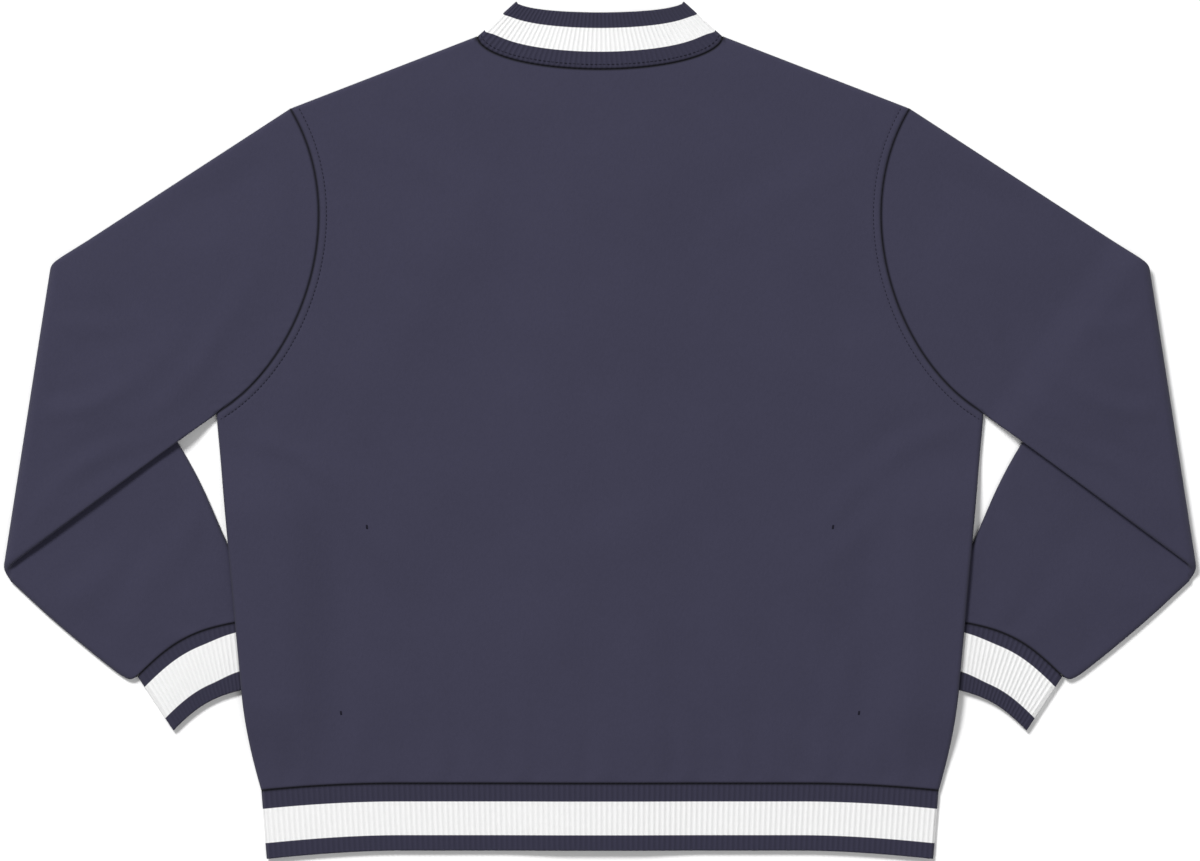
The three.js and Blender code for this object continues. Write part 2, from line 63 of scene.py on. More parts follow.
opening = {
    "overlapHalf": 15.0, "leftRise": 1.5, "rightRise": 4.8, "backRise": 3.1,
    "frontFlat": 18.0, "frontEnd": 70.0, "backFlat": 25.0, "backEnd": 95.0,
}


def mix(a, b, t):
    return a + (b - a) * t


def ease(x, start, end):
    t = np.clip((x - start) / (end - start), 0, 1)
    return t * t * (3 - 2 * t)


def unit(way):
    return way / np.linalg.norm(way)


def rightOf(ways):  # directions in plan, turned a quarter to their right
    return np.stack([ways[..., 1], -ways[..., 0]], axis=-1)


def runAlong(points):  # each point's distance from the first, along the line through them
    return np.concatenate([[0], np.cumsum(np.linalg.norm(np.diff(points, axis=0), axis=1))])


def pointsAt(distance, run, points):
    return np.stack([np.interp(distance, run, points[:, i]) for i in (0, 1)], axis=-1)


def rollHeight(inset):  # height of a rounded edge over its middle, this far in from its rim
    r = cloth["rollRadius"]
    return np.sqrt(np.maximum(r * r - (r - np.minimum(inset, r)) ** 2, 0))


def seamDrop(inset, r=cloth["seamRound"]):  # how far an edge has turned down towards its seam
    return r - np.sqrt(np.maximum(r * r - (r - np.clip(inset, 0, r)) ** 2, 0))


def distanceToLine(x, y, line):
    nearest = np.full(np.shape(x), 1e9)
    for (ax, ay), (bx, by) in zip(line[:-1], line[1:]):
        dx, dy = bx - ax, by - ay
        t = np.clip(((x - ax) * dx + (y - ay) * dy) / (dx * dx + dy * dy), 0, 1)
        nearest = np.minimum(nearest, np.hypot(x - ax - t * dx, y - ay - t * dy))
    return nearest


# Outline of half the body

def sideAcross(up):
    share = np.maximum(0, (body["tuckFromUp"] - up) / (body["tuckFromUp"] - body["hemSideUp"]))
    taper = body["sideTaper"] * (body["underarmUp"] - up)
    return body["underarmAcross"] - taper - body["tuck"] * share**2


def hemSeamUp(across):
    reach = body["hemAcross"] - body["hemCurveFrom"]
    share = np.maximum(0, (np.abs(across) - body["hemCurveFrom"]) / reach)
    return body["hemSideUp"] + body["hemSideDrop"] * (1 - share**2)


shoulderSlope = (body["neckUp"] - body["shoulderUp"]) / (body["shoulderAcross"] - body["neckAcross"])


def topUp(across, drop):
    aside = np.abs(across)
    shoulder = body["neckUp"] - (aside - body["neckAcross"]) * shoulderSlope
    neck = body["neckUp"] - drop * np.sqrt(np.maximum(0, 1 - (aside / body["neckAcross"]) ** 2))
    return np.where(aside >= body["neckAcross"], shoulder, neck)


def armholeCurve(steps=400):
    a = np.array([body["shoulderAcross"], body["shoulderUp"]])
    b, c = np.array(body["armholeTop"]), np.array(body["armholeBottom"])
    d = np.array([body["underarmAcross"], body["underarmUp"]])
    t = np.linspace(0, 1, steps)[:, None]
    return a * (1 - t) ** 3 + 3 * b * t * (1 - t) ** 2 + 3 * c * t * t * (1 - t) + d * t**3


armhole = armholeCurve()
armholeRun = runAlong(armhole)
armholeLength = armholeRun[-1]
armholeTangent = np.gradient(armhole, axis=0)
armholeTangent /= np.hypot(*armholeTangent.T)[:, None]


def alongArmhole(distance, values):
    return pointsAt(distance, armholeRun, values)


sideUps = np.linspace(body["hemSideUp"], body["underarmUp"], 60)
sideLine = np.stack([sideAcross(sideUps), sideUps], axis=-1)
shoulderLine = np.array([
    [body["neckAcross"], body["neckUp"]], [body["shoulderAcross"], body["shoulderUp"]],
])


def neckLine(drop):
    across = body["neckAcross"] * np.sin(np.linspace(0, math.pi / 2, 60))
    return np.stack([across, topUp(across, drop)], axis=-1)


# Folds that lie in the cloth: their centre, direction in degrees from X, half length, half width,
# height, and how far they bend aside at their ends

foldColumns = ("x", "y", "turn", "long", "wide", "high", "bend")
foldShape = {"boost": 1.4, "dip": 0.4, "dipAt": 1.5}  # each has a shallow dip along one side


def foldTable(*rows):
    return [dict(zip(foldColumns, row)) for row in rows]


backFolds = foldTable(
    (-190, 60, 62, 120, 30, 1.3, 0),
    (205, 35, 115, 105, 34, 1.2, 0),
    (-70, -180, 84, 95, 38, 1.1, 0),
    (120, -205, 98, 85, 33, 1.3, 0),
    (15, 205, 12, 120, 40, 1.0, 0),
    (-262, -28, 148, 60, 11, 1.5, 14),
    (-235, -70, 128, 72, 13, 1.1, -10),
    (266, -22, 34, 66, 12, 1.5, -12),
    (238, -88, 52, 60, 12, 1.0, 12),
    (-150, 238, 150, 75, 17, 0.8, 10),
    (172, 215, 25, 80, 16, 0.9, -12),
    (-205, -225, 97, 60, 14, 0.9, 8),
    (214, -240, 80, 55, 13, 1.0, -9),
    (20, -95, 20, 90, 22, 0.7, 16),
    (-60, 90, -14, 85, 24, 0.7, -14),
)
upperFolds = foldTable(
    (-420, 45, 40, 95, 28, 1.3, 0),
    (-350, 165, 28, 80, 30, 1.1, 0),
    (-470, 20, 12, 45, 10, 1.5, 9),
    (-462, -30, 32, 48, 10, 1.3, -8),
    (-458, 92, -4, 40, 11, 1.1, 7),
    (-372, 40, 52, 46, 12, 1.2, 10),
    (-340, 92, 66, 50, 13, 0.9, -8),
)
forearmFolds = foldTable(
    (-455, -140, 42, 55, 15, 1.2, 8),
    (-405, -128, 60, 50, 14, 1.0, -8),
    (-370, -95, 66, 45, 12, 0.9, 6),
)


def foldHeight(folds, x, y):
    total = np.zeros(np.shape(x))
    for fold in folds:
        turn = math.radians(fold["turn"])
        along = ((x - fold["x"]) * math.cos(turn) + (y - fold["y"]) * math.sin(turn)) / fold["long"]
        aside = (y - fold["y"]) * math.cos(turn) - (x - fold["x"]) * math.sin(turn)
        aside = (aside - fold["bend"] * along**2) / fold["wide"]
        dip = foldShape["dip"] * np.exp(-((aside - foldShape["dipAt"]) ** 2))
        total += foldShape["boost"] * fold["high"] * np.exp(-(along**2)) * (np.exp(-(aside**2)) - dip)
    return total


unevenness = {
    "seed": 11, "waves": 26, "shortest": 55.0, "longest": 190.0, "height": 0.34, "faintest": 0.4,
}


def makeWaves(seed):
    draw = np.random.default_rng(seed)
    count = unevenness["waves"]
    lengths = draw.uniform(unevenness["shortest"], unevenness["longest"], count)
    turns, phases = draw.uniform(0, 2 * math.pi, count), draw.uniform(0, 2 * math.pi, count)
    strengths = draw.uniform(unevenness["faintest"], 1, count)
    heights = unevenness["height"] * (lengths / unevenness["longest"]) * strengths
    return list(zip(2 * math.pi / lengths, turns, phases, heights))


waves = makeWaves(unevenness["seed"])


def waveHeight(x, y):  # cloth is never quite flat
    return sum(h * np.sin(k * (x * math.cos(t) + y * math.sin(t)) + p) for k, t, p, h in waves)


# Meshes of closed walls, from an outer and an inner grid of points


def gridNormals(grid, closesRound=False):
    if closesRound:
        along = np.roll(grid, -1, axis=0) - np.roll(grid, 1, axis=0)
    else:
        along = np.gradient(grid, axis=0)
    normals = np.cross(along, np.gradient(grid, axis=1))
    return normals / np.maximum(np.linalg.norm(normals, axis=2, keepdims=True), 1e-12)


def gridArea(grid, closesRound=False):  # square metres of cloth
    rows = np.concatenate([grid, grid[:1]]) if closesRound else grid
    a, b = rows[1:, 1:] - rows[:-1, :-1], rows[1:, :-1] - rows[:-1, 1:]
    return float(np.linalg.norm(np.cross(a, b), axis=2).sum() / 2) * metre**2


def outwards(normals, side):  # side is above 0 where the cloth faces up, and below 0 elsewhere
    return normals if np.sum(normals[..., 2] * side) > 0 else -normals


def newObject(name, data):
    made = bpy.data.objects.new(name, data)
    bpy.context.scene.collection.objects.link(made)
    return made


def paintedSeamShade(distance):  # how much of the painted shade in a seam's crease a point has
    return np.exp(-((distance / seamLook["paintedShadeWidth"]) ** 2))


def wallMesh(name, outer, inner, material, closesRound, across, deep, **values):
    # across and deep are the places on the flat cloth, and values are kept at the points
    rows, columns = outer.shape[:2]
    virtualRows = rows + 1 if closesRound else rows
    i, j = np.meshgrid(np.arange(virtualRows - 1), np.arange(columns - 1), indexing="ij")
    i, j = i.ravel(), j.ravel()
    top, under = 0, virtualRows * columns

    def quads(*corners):  # each corner is given as its side, row and column
        return np.stack([side + row * columns + column for side, row, column in corners], 1)

    r, end = np.arange(virtualRows - 1), columns - 1
    faces = [
        quads((top, i, j), (top, i + 1, j), (top, i + 1, j + 1), (top, i, j + 1)),
        quads((under, i, j), (under, i, j + 1), (under, i + 1, j + 1), (under, i + 1, j)),
        quads((top, r, 0), (under, r, 0), (under, r + 1, 0), (top, r + 1, 0)),
        quads((top, r, end), (top, r + 1, end), (under, r + 1, end), (under, r, end)),
    ]
    if not closesRound:
        c, last = np.arange(columns - 1), rows - 1
        faces += [
            quads((top, 0, c), (top, 0, c + 1), (under, 0, c + 1), (under, 0, c)),
            quads((top, last, c), (under, last, c), (under, last, c + 1), (top, last, c + 1)),
        ]
    corners = np.concatenate(faces)
    points = np.concatenate([outer.reshape(-1, 3), inner.reshape(-1, 3)])
    side, place = np.divmod(corners, virtualRows * columns)
    real = side * rows * columns + (place // columns % rows) * columns + place % columns
    a, b, c, d = (points[real[:, k]] for k in range(4))
    volume = np.einsum("ij,ij->i", a, np.cross(b, c) + np.cross(c, d)).sum()
    if volume < 0:  # the faces point inwards
        real, corners = real[:, ::-1], corners[:, ::-1]
    mesh = bpy.data.meshes.new(name)
    mesh.from_pydata((points * metre).tolist(), [], real.tolist())
    uv = np.concatenate([np.stack([across, deep], axis=-1).reshape(-1, 2)] * 2) * metre
    mesh.uv_layers.new(name="UVMap").data.foreach_set("uv", uv[corners.ravel()].ravel())
    for key, value in values.items():
        both = np.concatenate([np.broadcast_to(value, (rows, columns)).ravel()] * 2)
        mesh.attributes.new(key, "FLOAT", "POINT").data.foreach_set("value", both)
    mesh.materials.append(material)
    mesh.shade_smooth()
    return newObject(name, mesh)


def selectOnly(piece):
    bpy.ops.object.select_all(action="DESELECT")
    piece.select_set(True)
    bpy.context.view_layer.objects.active = piece


def sharpAbove(piece, degrees=50):
    selectOnly(piece)
    bpy.ops.object.shade_smooth_by_angle(angle=math.radians(degrees))


# Materials

navy = (0.0373, 0.0359, 0.0634)
paintedCreaseShade = 0.12  # of the navy, for the painted shade in the crease of a seam
finishes = {
    "wool": {
        "surface": {
            "Roughness": 0.92, "Specular IOR Level": 0.12, "Sheen Weight": 0.05, "Sheen Roughness": 0.6,
        },
        "dark": 0.82, "light": 1.18, "brushed": (1, 0.55, 1),  # from collar to hem
        "fibres": 1500, "tufts": 420, "mottling": 38, "relief": 0.0004, "reliefStrength": 1.0,
    },
    "knit": {
        "surface": {"Roughness": 0.9, "Specular IOR Level": 0.12, "Sheen Weight": 0.04},
        # dark and light bound the painted shade and highlight of the stitches, for the navy and the
        # white yarn
        "dark": 0.82, "light": 1.16, "white": (0.93, 0.93, 0.93), "whiteDark": 0.95, "whiteLight": 1.01,
        "paintedRibShade": 0.9,  # how dark the painted shade in the grooves between the ribs is
        "stripeEdge": 120,  # how sharp the change of yarn is
        "waleWidth": 0.0012, "courseHeight": 0.0014, "lean": 1.6,
        "relief": 0.00022, "reliefStrength": 0.8,
    },
    "thread": {
        "surface": {"Roughness": 0.85, "Specular IOR Level": 0.1},
        "colour": (0.010, 0.0095, 0.018), "dark": 0.8, "light": 1.25, "grain": 900,
    },
    "snap": {
        "surface": {"Roughness": 0.32, "Specular IOR Level": 0.5, "Metallic": 0.85},
        "colour": (0.033, 0.032, 0.048), "dark": 0.8, "light": 1.25, "grain": 260,
    },
}


def newGroup(name, inputs, outputs):
    group = bpy.data.node_groups.new(name, "ShaderNodeTree")
    for socket, kind in inputs:
        group.interface.new_socket(socket, in_out="INPUT", socket_type=kind)
    for socket, kind in outputs:
        group.interface.new_socket(socket, in_out="OUTPUT", socket_type=kind)
    return group, group.nodes.new("NodeGroupInput"), group.nodes.new("NodeGroupOutput")


def mathNode(tree, operation, first, second=None, clamp=False):
    node = tree.nodes.new("ShaderNodeMath")
    node.operation = operation
    node.use_clamp = clamp
    for socket, value in zip(node.inputs, (first, second)):
        if value is None:
            continue
        if isinstance(value, (int, float)):
            socket.default_value = value
        else:
            tree.links.new(value, socket)
    return node.outputs[0]


def fromHalf(tree, value):
    return mathNode(tree, "ABSOLUTE", mathNode(tree, "SUBTRACT", value, 0.5))


def setInputs(node, values):
    for name, value in values.items():
        node.inputs[name].default_value = value


def noiseNode(tree, vector, scale, detail, roughness=0.5):
    node = tree.nodes.new("ShaderNodeTexNoise")
    setInputs(node, {"Scale": scale, "Detail": detail, "Roughness": roughness})
    tree.links.new(vector, node.inputs["Vector"])
    return node.outputs["Fac"]


def summed(tree, *parts):  # each part is a value and its weight
    total = None
    for value, weight in parts:
        part = mathNode(tree, "MULTIPLY", value, weight)
        total = part if total is None else mathNode(tree, "ADD", total, part)
    return total


def makeWoolNap():
    # Brushed fibres, the tufts that they gather in, and a slow change of shade
    finish = finishes["wool"]
    values = [("Shade", "NodeSocketFloat"), ("Height", "NodeSocketFloat")]
    group, _, made = newGroup("woolNap", [], values)
    place = group.nodes.new("ShaderNodeTexCoord").outputs["Object"]
    stretch = group.nodes.new("ShaderNodeMapping")
    stretch.inputs["Scale"].default_value = finish["brushed"]
    group.links.new(place, stretch.inputs["Vector"])
    fibres = noiseNode(group, stretch.outputs["Vector"], finish["fibres"], 3, 0.65)
    tufts = noiseNode(group, stretch.outputs["Vector"], finish["tufts"], 2)
    mottling = noiseNode(group, place, finish["mottling"], 3)
    shade = summed(group, (fibres, 0.5), (tufts, 0.3), (mottling, 0.2))
    group.links.new(shade, made.inputs["Shade"])
    group.links.new(summed(group, (fibres, 0.6), (tufts, 0.7)), made.inputs["Height"])
    return group


def makeKnitStitch():
    # Rows of V-shaped stitches: each leg of a V is a lean, rounded strand
    finish = finishes["knit"]
    places = [("Across", "NodeSocketFloat"), ("Deep", "NodeSocketFloat")]
    values = [("Shade", "NodeSocketFloat"), ("Height", "NodeSocketFloat")]
    group, given, made = newGroup("knitStitch", places, values)
    wale = mathNode(group, "DIVIDE", given.outputs["Across"], finish["waleWidth"])
    fromMiddle = fromHalf(group, mathNode(group, "FRACT", wale))
    course = mathNode(group, "DIVIDE", given.outputs["Deep"], finish["courseHeight"])
    inCourse = mathNode(group, "FRACT", summed(group, (course, 1), (fromMiddle, finish["lean"])))
    strand = mathNode(group, "SINE", mathNode(group, "MULTIPLY", inCourse, math.pi))
    leg = mathNode(group, "SINE", mathNode(group, "MULTIPLY", fromMiddle, 2 * math.pi))
    rounded = mathNode(group, "POWER", strand, 0.7)
    height = mathNode(group, "MULTIPLY", rounded, mathNode(group, "ADD", leg, 0.35))
    group.links.new(height, made.inputs["Height"])
    # Shade is painted shade and highlight: the yarn darkens where a stitch sinks between strands and
    # lightens on their tops
    group.links.new(mathNode(group, "MULTIPLY", height, 0.8, clamp=True), made.inputs["Shade"])
    return group


def startMaterial(name):
    material = bpy.data.materials.new(name)
    material.use_nodes = True
    shader = material.node_tree.nodes["Principled BSDF"]
    return material, material.node_tree, shader


def placeGroup(tree, group):
    node = tree.nodes.new("ShaderNodeGroup")
    node.node_tree = group
    return node


def shadeBetween(tree, factor, dark, light):
    node = tree.nodes.new("ShaderNodeMix")
    node.data_type = "RGBA"
    for socket, value in (("Factor", factor), ("A", dark), ("B", light)):
        if isinstance(value, tuple):
            node.inputs[socket].default_value = (*value, 1)
        else:
            tree.links.new(value, node.inputs[socket])
    return node.outputs["Result"]


def addBump(tree, shader, height, distance, strength):
    node = tree.nodes.new("ShaderNodeBump")
    setInputs(node, {"Distance": distance, "Strength": strength})
    tree.links.new(height, node.inputs["Height"])
    tree.links.new(node.outputs["Normal"], shader.inputs["Normal"])


def scaled(colour, factor):
    return tuple(channel * factor for channel in colour)


def pointValue(tree, name):
    node = tree.nodes.new("ShaderNodeAttribute")
    node.attribute_name = name
    return node.outputs["Fac"]


def yarnShade(tree, factor, colour, dark, light):
    return shadeBetween(tree, factor, scaled(colour, dark), scaled(colour, light))


def finishCloth(tree, shader, finish, colour, height):
    # Painted shade: the colour darkens towards a dark navy in the crease of each seam, where shade
    # would fall
    paintedCreaseColour = shadeBetween(tree, pointValue(tree, "seam"), colour, scaled(navy, paintedCreaseShade))
    tree.links.new(paintedCreaseColour, shader.inputs["Base Color"])
    setInputs(shader, finish["surface"])
    addBump(tree, shader, height, finish["relief"], finish["reliefStrength"])


def makeWool(napGroup):
    finish = finishes["wool"]
    material, tree, shader = startMaterial("napped navy wool")
    nap = placeGroup(tree, napGroup)
    fibre = yarnShade(tree, nap.outputs["Shade"], navy, finish["dark"], finish["light"])
    finishCloth(tree, shader, finish, fibre, nap.outputs["Height"])
    return material


def makeKnit(stitchGroup):
    finish = finishes["knit"]
    material, tree, shader = startMaterial("striped rib knit")
    split = tree.nodes.new("ShaderNodeSeparateXYZ")
    uvMap = tree.nodes.new("ShaderNodeUVMap")
    uvMap.uv_map = "UVMap"
    tree.links.new(uvMap.outputs["UV"], split.inputs["Vector"])
    stitch = placeGroup(tree, stitchGroup)
    tree.links.new(split.outputs["X"], stitch.inputs["Across"])
    tree.links.new(split.outputs["Y"], stitch.inputs["Deep"])
    fromStripe = mathNode(tree, "SUBTRACT", 0.5, fromHalf(tree, pointValue(tree, "stripe")))
    inStripe = mathNode(tree, "MULTIPLY", fromStripe, finish["stripeEdge"], clamp=True)
    # the stitches' painted shade and highlight: each yarn is darker between the strands and lighter on
    # their tops
    shade = stitch.outputs["Shade"]
    navyYarn = yarnShade(tree, shade, navy, finish["dark"], finish["light"])
    whiteYarn = yarnShade(tree, shade, finish["white"], finish["whiteDark"], finish["whiteLight"])
    # Painted shade: the colour darkens in the grooves between the ribs, where shade would fall
    paintedRibShadeMix = tree.nodes.new("ShaderNodeMix")
    paintedRibShadeMix.data_type, paintedRibShadeMix.blend_type = "RGBA", "MULTIPLY"
    paintedRibShadeMix.inputs["B"].default_value = (*[finish["paintedRibShade"]] * 3, 1)
    tree.links.new(pointValue(tree, "paintedRibShade"), paintedRibShadeMix.inputs["Factor"])
    tree.links.new(shadeBetween(tree, inStripe, navyYarn, whiteYarn), paintedRibShadeMix.inputs["A"])
    finishCloth(tree, shader, finish, paintedRibShadeMix.outputs["Result"], stitch.outputs["Height"])
    return material


def makePlain(name, finish):
    material, tree, shader = startMaterial(name)
    place = tree.nodes.new("ShaderNodeTexCoord").outputs["Object"]
    worn = noiseNode(tree, place, finish["grain"], 2)
    colour = yarnShade(tree, worn, finish["colour"], finish["dark"], finish["light"])
    tree.links.new(colour, shader.inputs["Base Color"])
    setInputs(shader, finish["surface"])
    return material


woolNap, knitStitch = makeWoolNap(), makeKnitStitch()
wool, knit = makeWool(woolNap), makeKnit(knitStitch)
thread = makePlain("sewing thread", finishes["thread"])
snapMetal = makePlain("dark snap metal", finishes["snap"])
print("materials made")

# Back and fronts

panelGrid = {
    "hemInsets": [0, 0.25, 0.6, 1.1, 1.8, 3.0], "afterHem": 1.8,
    "sideShare": 0.5,  # of the rows, which end at the side and not at the armhole
    "topInsets": [12.0, 9.0, 7.0, 5.5, 4.0, 3.0, 2.0, 1.2, 0.6, 0.15, 0.0],
    "edgeInsets": [
        17.0, 13.0, 10.5, 9.2, 8.2, 7.5, 7.0, 6.5, 5.8, 4.8, 4.0, 3.0, 2.0, 1.2, 0.6, 0.15, 0.0,
    ],
    "blendNearCorner": 45.0, "cornerReach": 1.15, "hemFade": 0.25, "slopeFrom": 80.0,
    "backRows": (78, 84), "backColumns": (40, 44), "frontRows": (40, 44), "frontColumns": (30, 26),
    "overlapColumns": 8,
}
seamLook = {
    "stitchInset": 7.0, "channelDepth": 0.55, "channelWidth": 1.0, "allowanceHeight": 0.55,
    "puckerHeight": 0.22, "puckerLength": 9.0, "puckerDrift": 17.0, "puckerReach": 9.0,
    "gatherHeight": 0.625, "gatherReach": 52.0, "gatherStart": 10.0,
    "gatherWaves": [(6.1, 1, 1), (3.9, 0.6, 1.7), (11.3, 0.5, 1)],
    # the next width is how far the painted shade in a seam's crease reaches
    "paintedShadeWidth": 1.15, "puffed": 0.3,
    "calm": (4.0, 48.0),  # how far from an edge the folds start, and are full
}


def bodyLift(x, y):
    across = ease(np.abs(x), *body["liftAcross"])
    return cloth["stackHeight"] * across * ease(y, *body["liftTop"]) * ease(y, *body["liftBottom"])


def backRise(x):
    return opening["backRise"] * (1 - ease(np.abs(x), opening["backFlat"], opening["backEnd"]))


def frontRise(x):
    return 1 - ease(np.abs(x), opening["frontFlat"], opening["frontEnd"])


def foldInset(x, y):  # distance from the fold at the side, or from the shoulder
    aside = np.abs(x)
    return np.minimum(distanceToLine(aside, y, sideLine), distanceToLine(aside, y, shoulderLine))


def fromSeams(x, y, drop):
    aside = np.abs(x)
    fromArmhole, fromNeck = (distanceToLine(aside, y, line) for line in (armhole, neckLine(drop)))
    return np.minimum(np.minimum(fromArmhole, fromNeck), np.abs(y - hemSeamUp(x)))


def rollAt(x, y):
    return np.maximum(rollHeight(foldInset(x, y)), cloth["seamGap"] / 2)


def flatness(x, y):  # 0 on a rim, 1 where the cloth lies flat
    return rollHeight(foldInset(x, y)) / cloth["rollRadius"]


def backBase(x, y):
    fromEdges = np.minimum(fromSeams(x, y, body["backDrop"]), foldInset(x, y))
    swelling = foldHeight(backFolds, x, y) + waveHeight(x, y) + seamLook["puffed"]
    resting = cloth["rollRadius"] + rollAt(x, y) + bodyLift(x, y) + backRise(x)
    return resting + ease(fromEdges, *seamLook["calm"]) * swelling


def gathers(x, distance, start):
    pull = np.exp(-distance / seamLook["gatherReach"]) * ease(distance, 0, seamLook["gatherStart"])
    waves = sum(h * np.sin(x / long + k * start) for long, h, k in seamLook["gatherWaves"])
    return seamLook["gatherHeight"] * pull * waves


def puckers(y, fromArmhole):
    wave = np.sin(2 * math.pi * y / seamLook["puckerLength"] + np.sin(y / seamLook["puckerDrift"]))
    return seamLook["puckerHeight"] * wave * np.exp(-(fromArmhole / seamLook["puckerReach"]) ** 2)


def backDetail(x, y):
    fromArmhole = distanceToLine(np.abs(x), y, armhole)
    inset, width = seamLook["stitchInset"], seamLook["channelWidth"]
    allowance = ease(fromArmhole, 1, 3) * ease(fromArmhole, inset + 1, inset - 1)
    channel = np.exp(-(((fromArmhole - inset) / width) ** 2))
    raised = seamLook["allowanceHeight"] * allowance - seamLook["channelDepth"] * channel
    raised = raised + puckers(y, fromArmhole) + gathers(x, y - hemSeamUp(x), 0.4)
    return flatness(x, y) * (raised - seamDrop(fromSeams(x, y, body["backDrop"])))


def backHeight(x, y):
    return backBase(x, y) + backDetail(x, y)


def halfPanel(drop, rowCounts, columnCounts):
    # Half a panel's grid in plan. Rows follow the hem, then the side and armhole, then the shoulder.
    neckCount, outerCount = columnCounts
    sideShare = panelGrid["sideShare"]
    height = body["neckUp"] - body["hemSideUp"]
    hemShares = np.array(panelGrid["hemInsets"]) / height
    lower = np.linspace(hemShares[-1] * panelGrid["afterHem"], sideShare, rowCounts[0])
    upper = np.linspace(sideShare, 1, rowCounts[1])[1:]
    shares = np.concatenate([hemShares, lower, upper])
    depths = np.array(panelGrid["topInsets"])
    reach = depths[0]
    onSide = shares <= sideShare
    ups = mix(body["hemSideUp"], body["underarmUp"], shares / sideShare)
    runs = mix(armholeLength, reach, (shares - sideShare) / (1 - sideShare))
    runs = np.concatenate([runs, depths[1:]])
    rows = len(runs)
    rowShares = np.concatenate([shares, np.ones(len(depths) - 1)])
    rowDepths = np.concatenate([np.full(len(shares), reach), depths[1:]])
    onSide = np.concatenate([onSide, np.zeros(len(depths) - 1, bool)])
    ups = np.concatenate([ups, np.zeros(len(depths) - 1)])

    ends = np.where(onSide[:, None], np.stack([sideAcross(ups), ups], -1), alongArmhole(runs, armhole))
    inwards = rightOf(alongArmhole(runs, armholeTangent))
    shoulderWay = unit(np.array([-1, shoulderSlope]))
    sideWay = np.array([-1.0, body["sideTaper"]])
    cornerWay = unit(rightOf(armholeTangent[-1]) + sideWay)
    near = panelGrid["blendNearCorner"]
    toShoulder = (1 - ease(runs, reach, near))[:, None]
    fromCorner = np.where(onSide, body["underarmUp"] - ups, armholeLength - runs)
    toCorner = (1 - ease(fromCorner, 0, near))[:, None]
    ways = np.where(onSide[:, None], sideWay, mix(inwards, shoulderWay, toShoulder))
    ways = mix(ways, cornerWay * panelGrid["cornerReach"], toCorner)

    edgeInsets = np.array(panelGrid["edgeInsets"])
    edgeX = ends[:, :1] + ways[:, :1] * edgeInsets
    edgeY = ends[:, 1:] + ways[:, 1:] * edgeInsets
    neckX = body["neckAcross"] * np.sin(np.linspace(0, math.pi / 2, neckCount))
    outerShares = np.linspace(0, 1, outerCount)[1:-1]
    innerX = np.concatenate([
        np.tile(neckX, (rows, 1)),
        mix(body["neckAcross"], edgeX[:, :1], outerShares),
    ], axis=1)
    nominalEnd = body["shoulderAcross"] - edgeInsets[0]
    nominal = np.concatenate([neckX, mix(body["neckAcross"], nominalEnd, outerShares)])
    weights = ease(nominal, body["neckAcross"] / 2, nominalEnd)
    sloping = ease(innerX, panelGrid["slopeFrom"], body["neckAcross"])
    stretch = mix(1, math.hypot(1, shoulderSlope), sloping)
    top = topUp(innerX, drop) - rowDepths[:, None] * stretch
    low = hemSeamUp(innerX)
    central = mix(low, top, rowShares[:, None])
    hemFade = (1 - ease(rowShares, 0, panelGrid["hemFade"]))[:, None]
    innerY = mix(central, edgeY[:, :1] + (low - body["hemSideUp"]) * hemFade, weights)
    innerY[rowDepths < reach] = top[rowDepths < reach]
    innerY[rowShares == 1] = top[rowShares == 1]
    hemRows = rowShares <= hemShares[-1]
    innerY[hemRows] = (low + rowShares[:, None] * height)[hemRows]
    edgeY[hemRows] = (hemSeamUp(edgeX) + rowShares[:, None] * height)[hemRows]
    return np.concatenate([innerX, edgeX], axis=1), np.concatenate([innerY, edgeY], axis=1)


def mirrored(x, y):
    return np.concatenate([-x[:, :0:-1], x], axis=1), np.concatenate([y[:, :0:-1], y], axis=1)


def shiftFromSeams(x, y):
    # Leaves the parting of a seam along the armhole, which is some 300 mm from the middle
    nearest = distanceToLine(np.abs(x), y, armhole)
    return x * (1 - cloth["seamGap"] / 300 * np.exp(-nearest / cloth["seamReach"]))


def makePanel(name, x, y, height, detail, facing, raised, drop):
    base = np.stack([x, y, height], axis=-1)
    outer = base.copy()
    outer[..., 2] += detail
    inner = base - cloth["wall"] * outwards(gridNormals(base), facing)
    limit = cloth["rollRadius"] + bodyLift(x, y) + raised + facing * cloth["halfParting"]
    inner[..., 2] = facing * np.maximum(facing * inner[..., 2], facing * limit)
    # painted shade in the creases of the seams, kept at the points as "seam"
    seam = paintedSeamShade(fromSeams(x, y, drop))
    return wallMesh(name, outer, inner, wool, False, x, y, seam=seam), gridArea(base)


def makeBack():
    x, y = mirrored(*halfPanel(body["backDrop"], panelGrid["backRows"], panelGrid["backColumns"]))
    x = shiftFromSeams(x, y)
    return makePanel("backCloth", x, y, backBase(x, y), backDetail(x, y), 1, 0, body["backDrop"])


backCloth, backArea = makeBack()
print("back made", len(backCloth.data.polygons), "faces", round(backArea, 3), "square metres")


def makeFront(name, side, rise):
    x, y = halfPanel(body["frontDrop"], panelGrid["frontRows"], panelGrid["frontColumns"])
    overlap = np.linspace(-opening["overlapHalf"], 0, panelGrid["overlapColumns"])[:-1]
    x = np.concatenate([np.tile(overlap, (len(x), 1)), x], axis=1)
    y = np.concatenate([np.repeat(y[:, :1], len(overlap), axis=1), y], axis=1)
    x = side * shiftFromSeams(x, y)
    raised = rise * frontRise(x)
    height = cloth["rollRadius"] - rollAt(x, y) + bodyLift(x, y) + raised
    detail = flatness(x, y) * seamDrop(fromSeams(x, y, body["frontDrop"]))
    return makePanel(name, x, y, height, detail, -1, 2 * raised, body["frontDrop"])


frontLeft, frontArea = makeFront("frontClothLeft", -1, opening["leftRise"])
frontRight, _ = makeFront("frontClothRight", 1, opening["rightRise"])
print("fronts made")

# Sleeves, worked out for the one at negative X

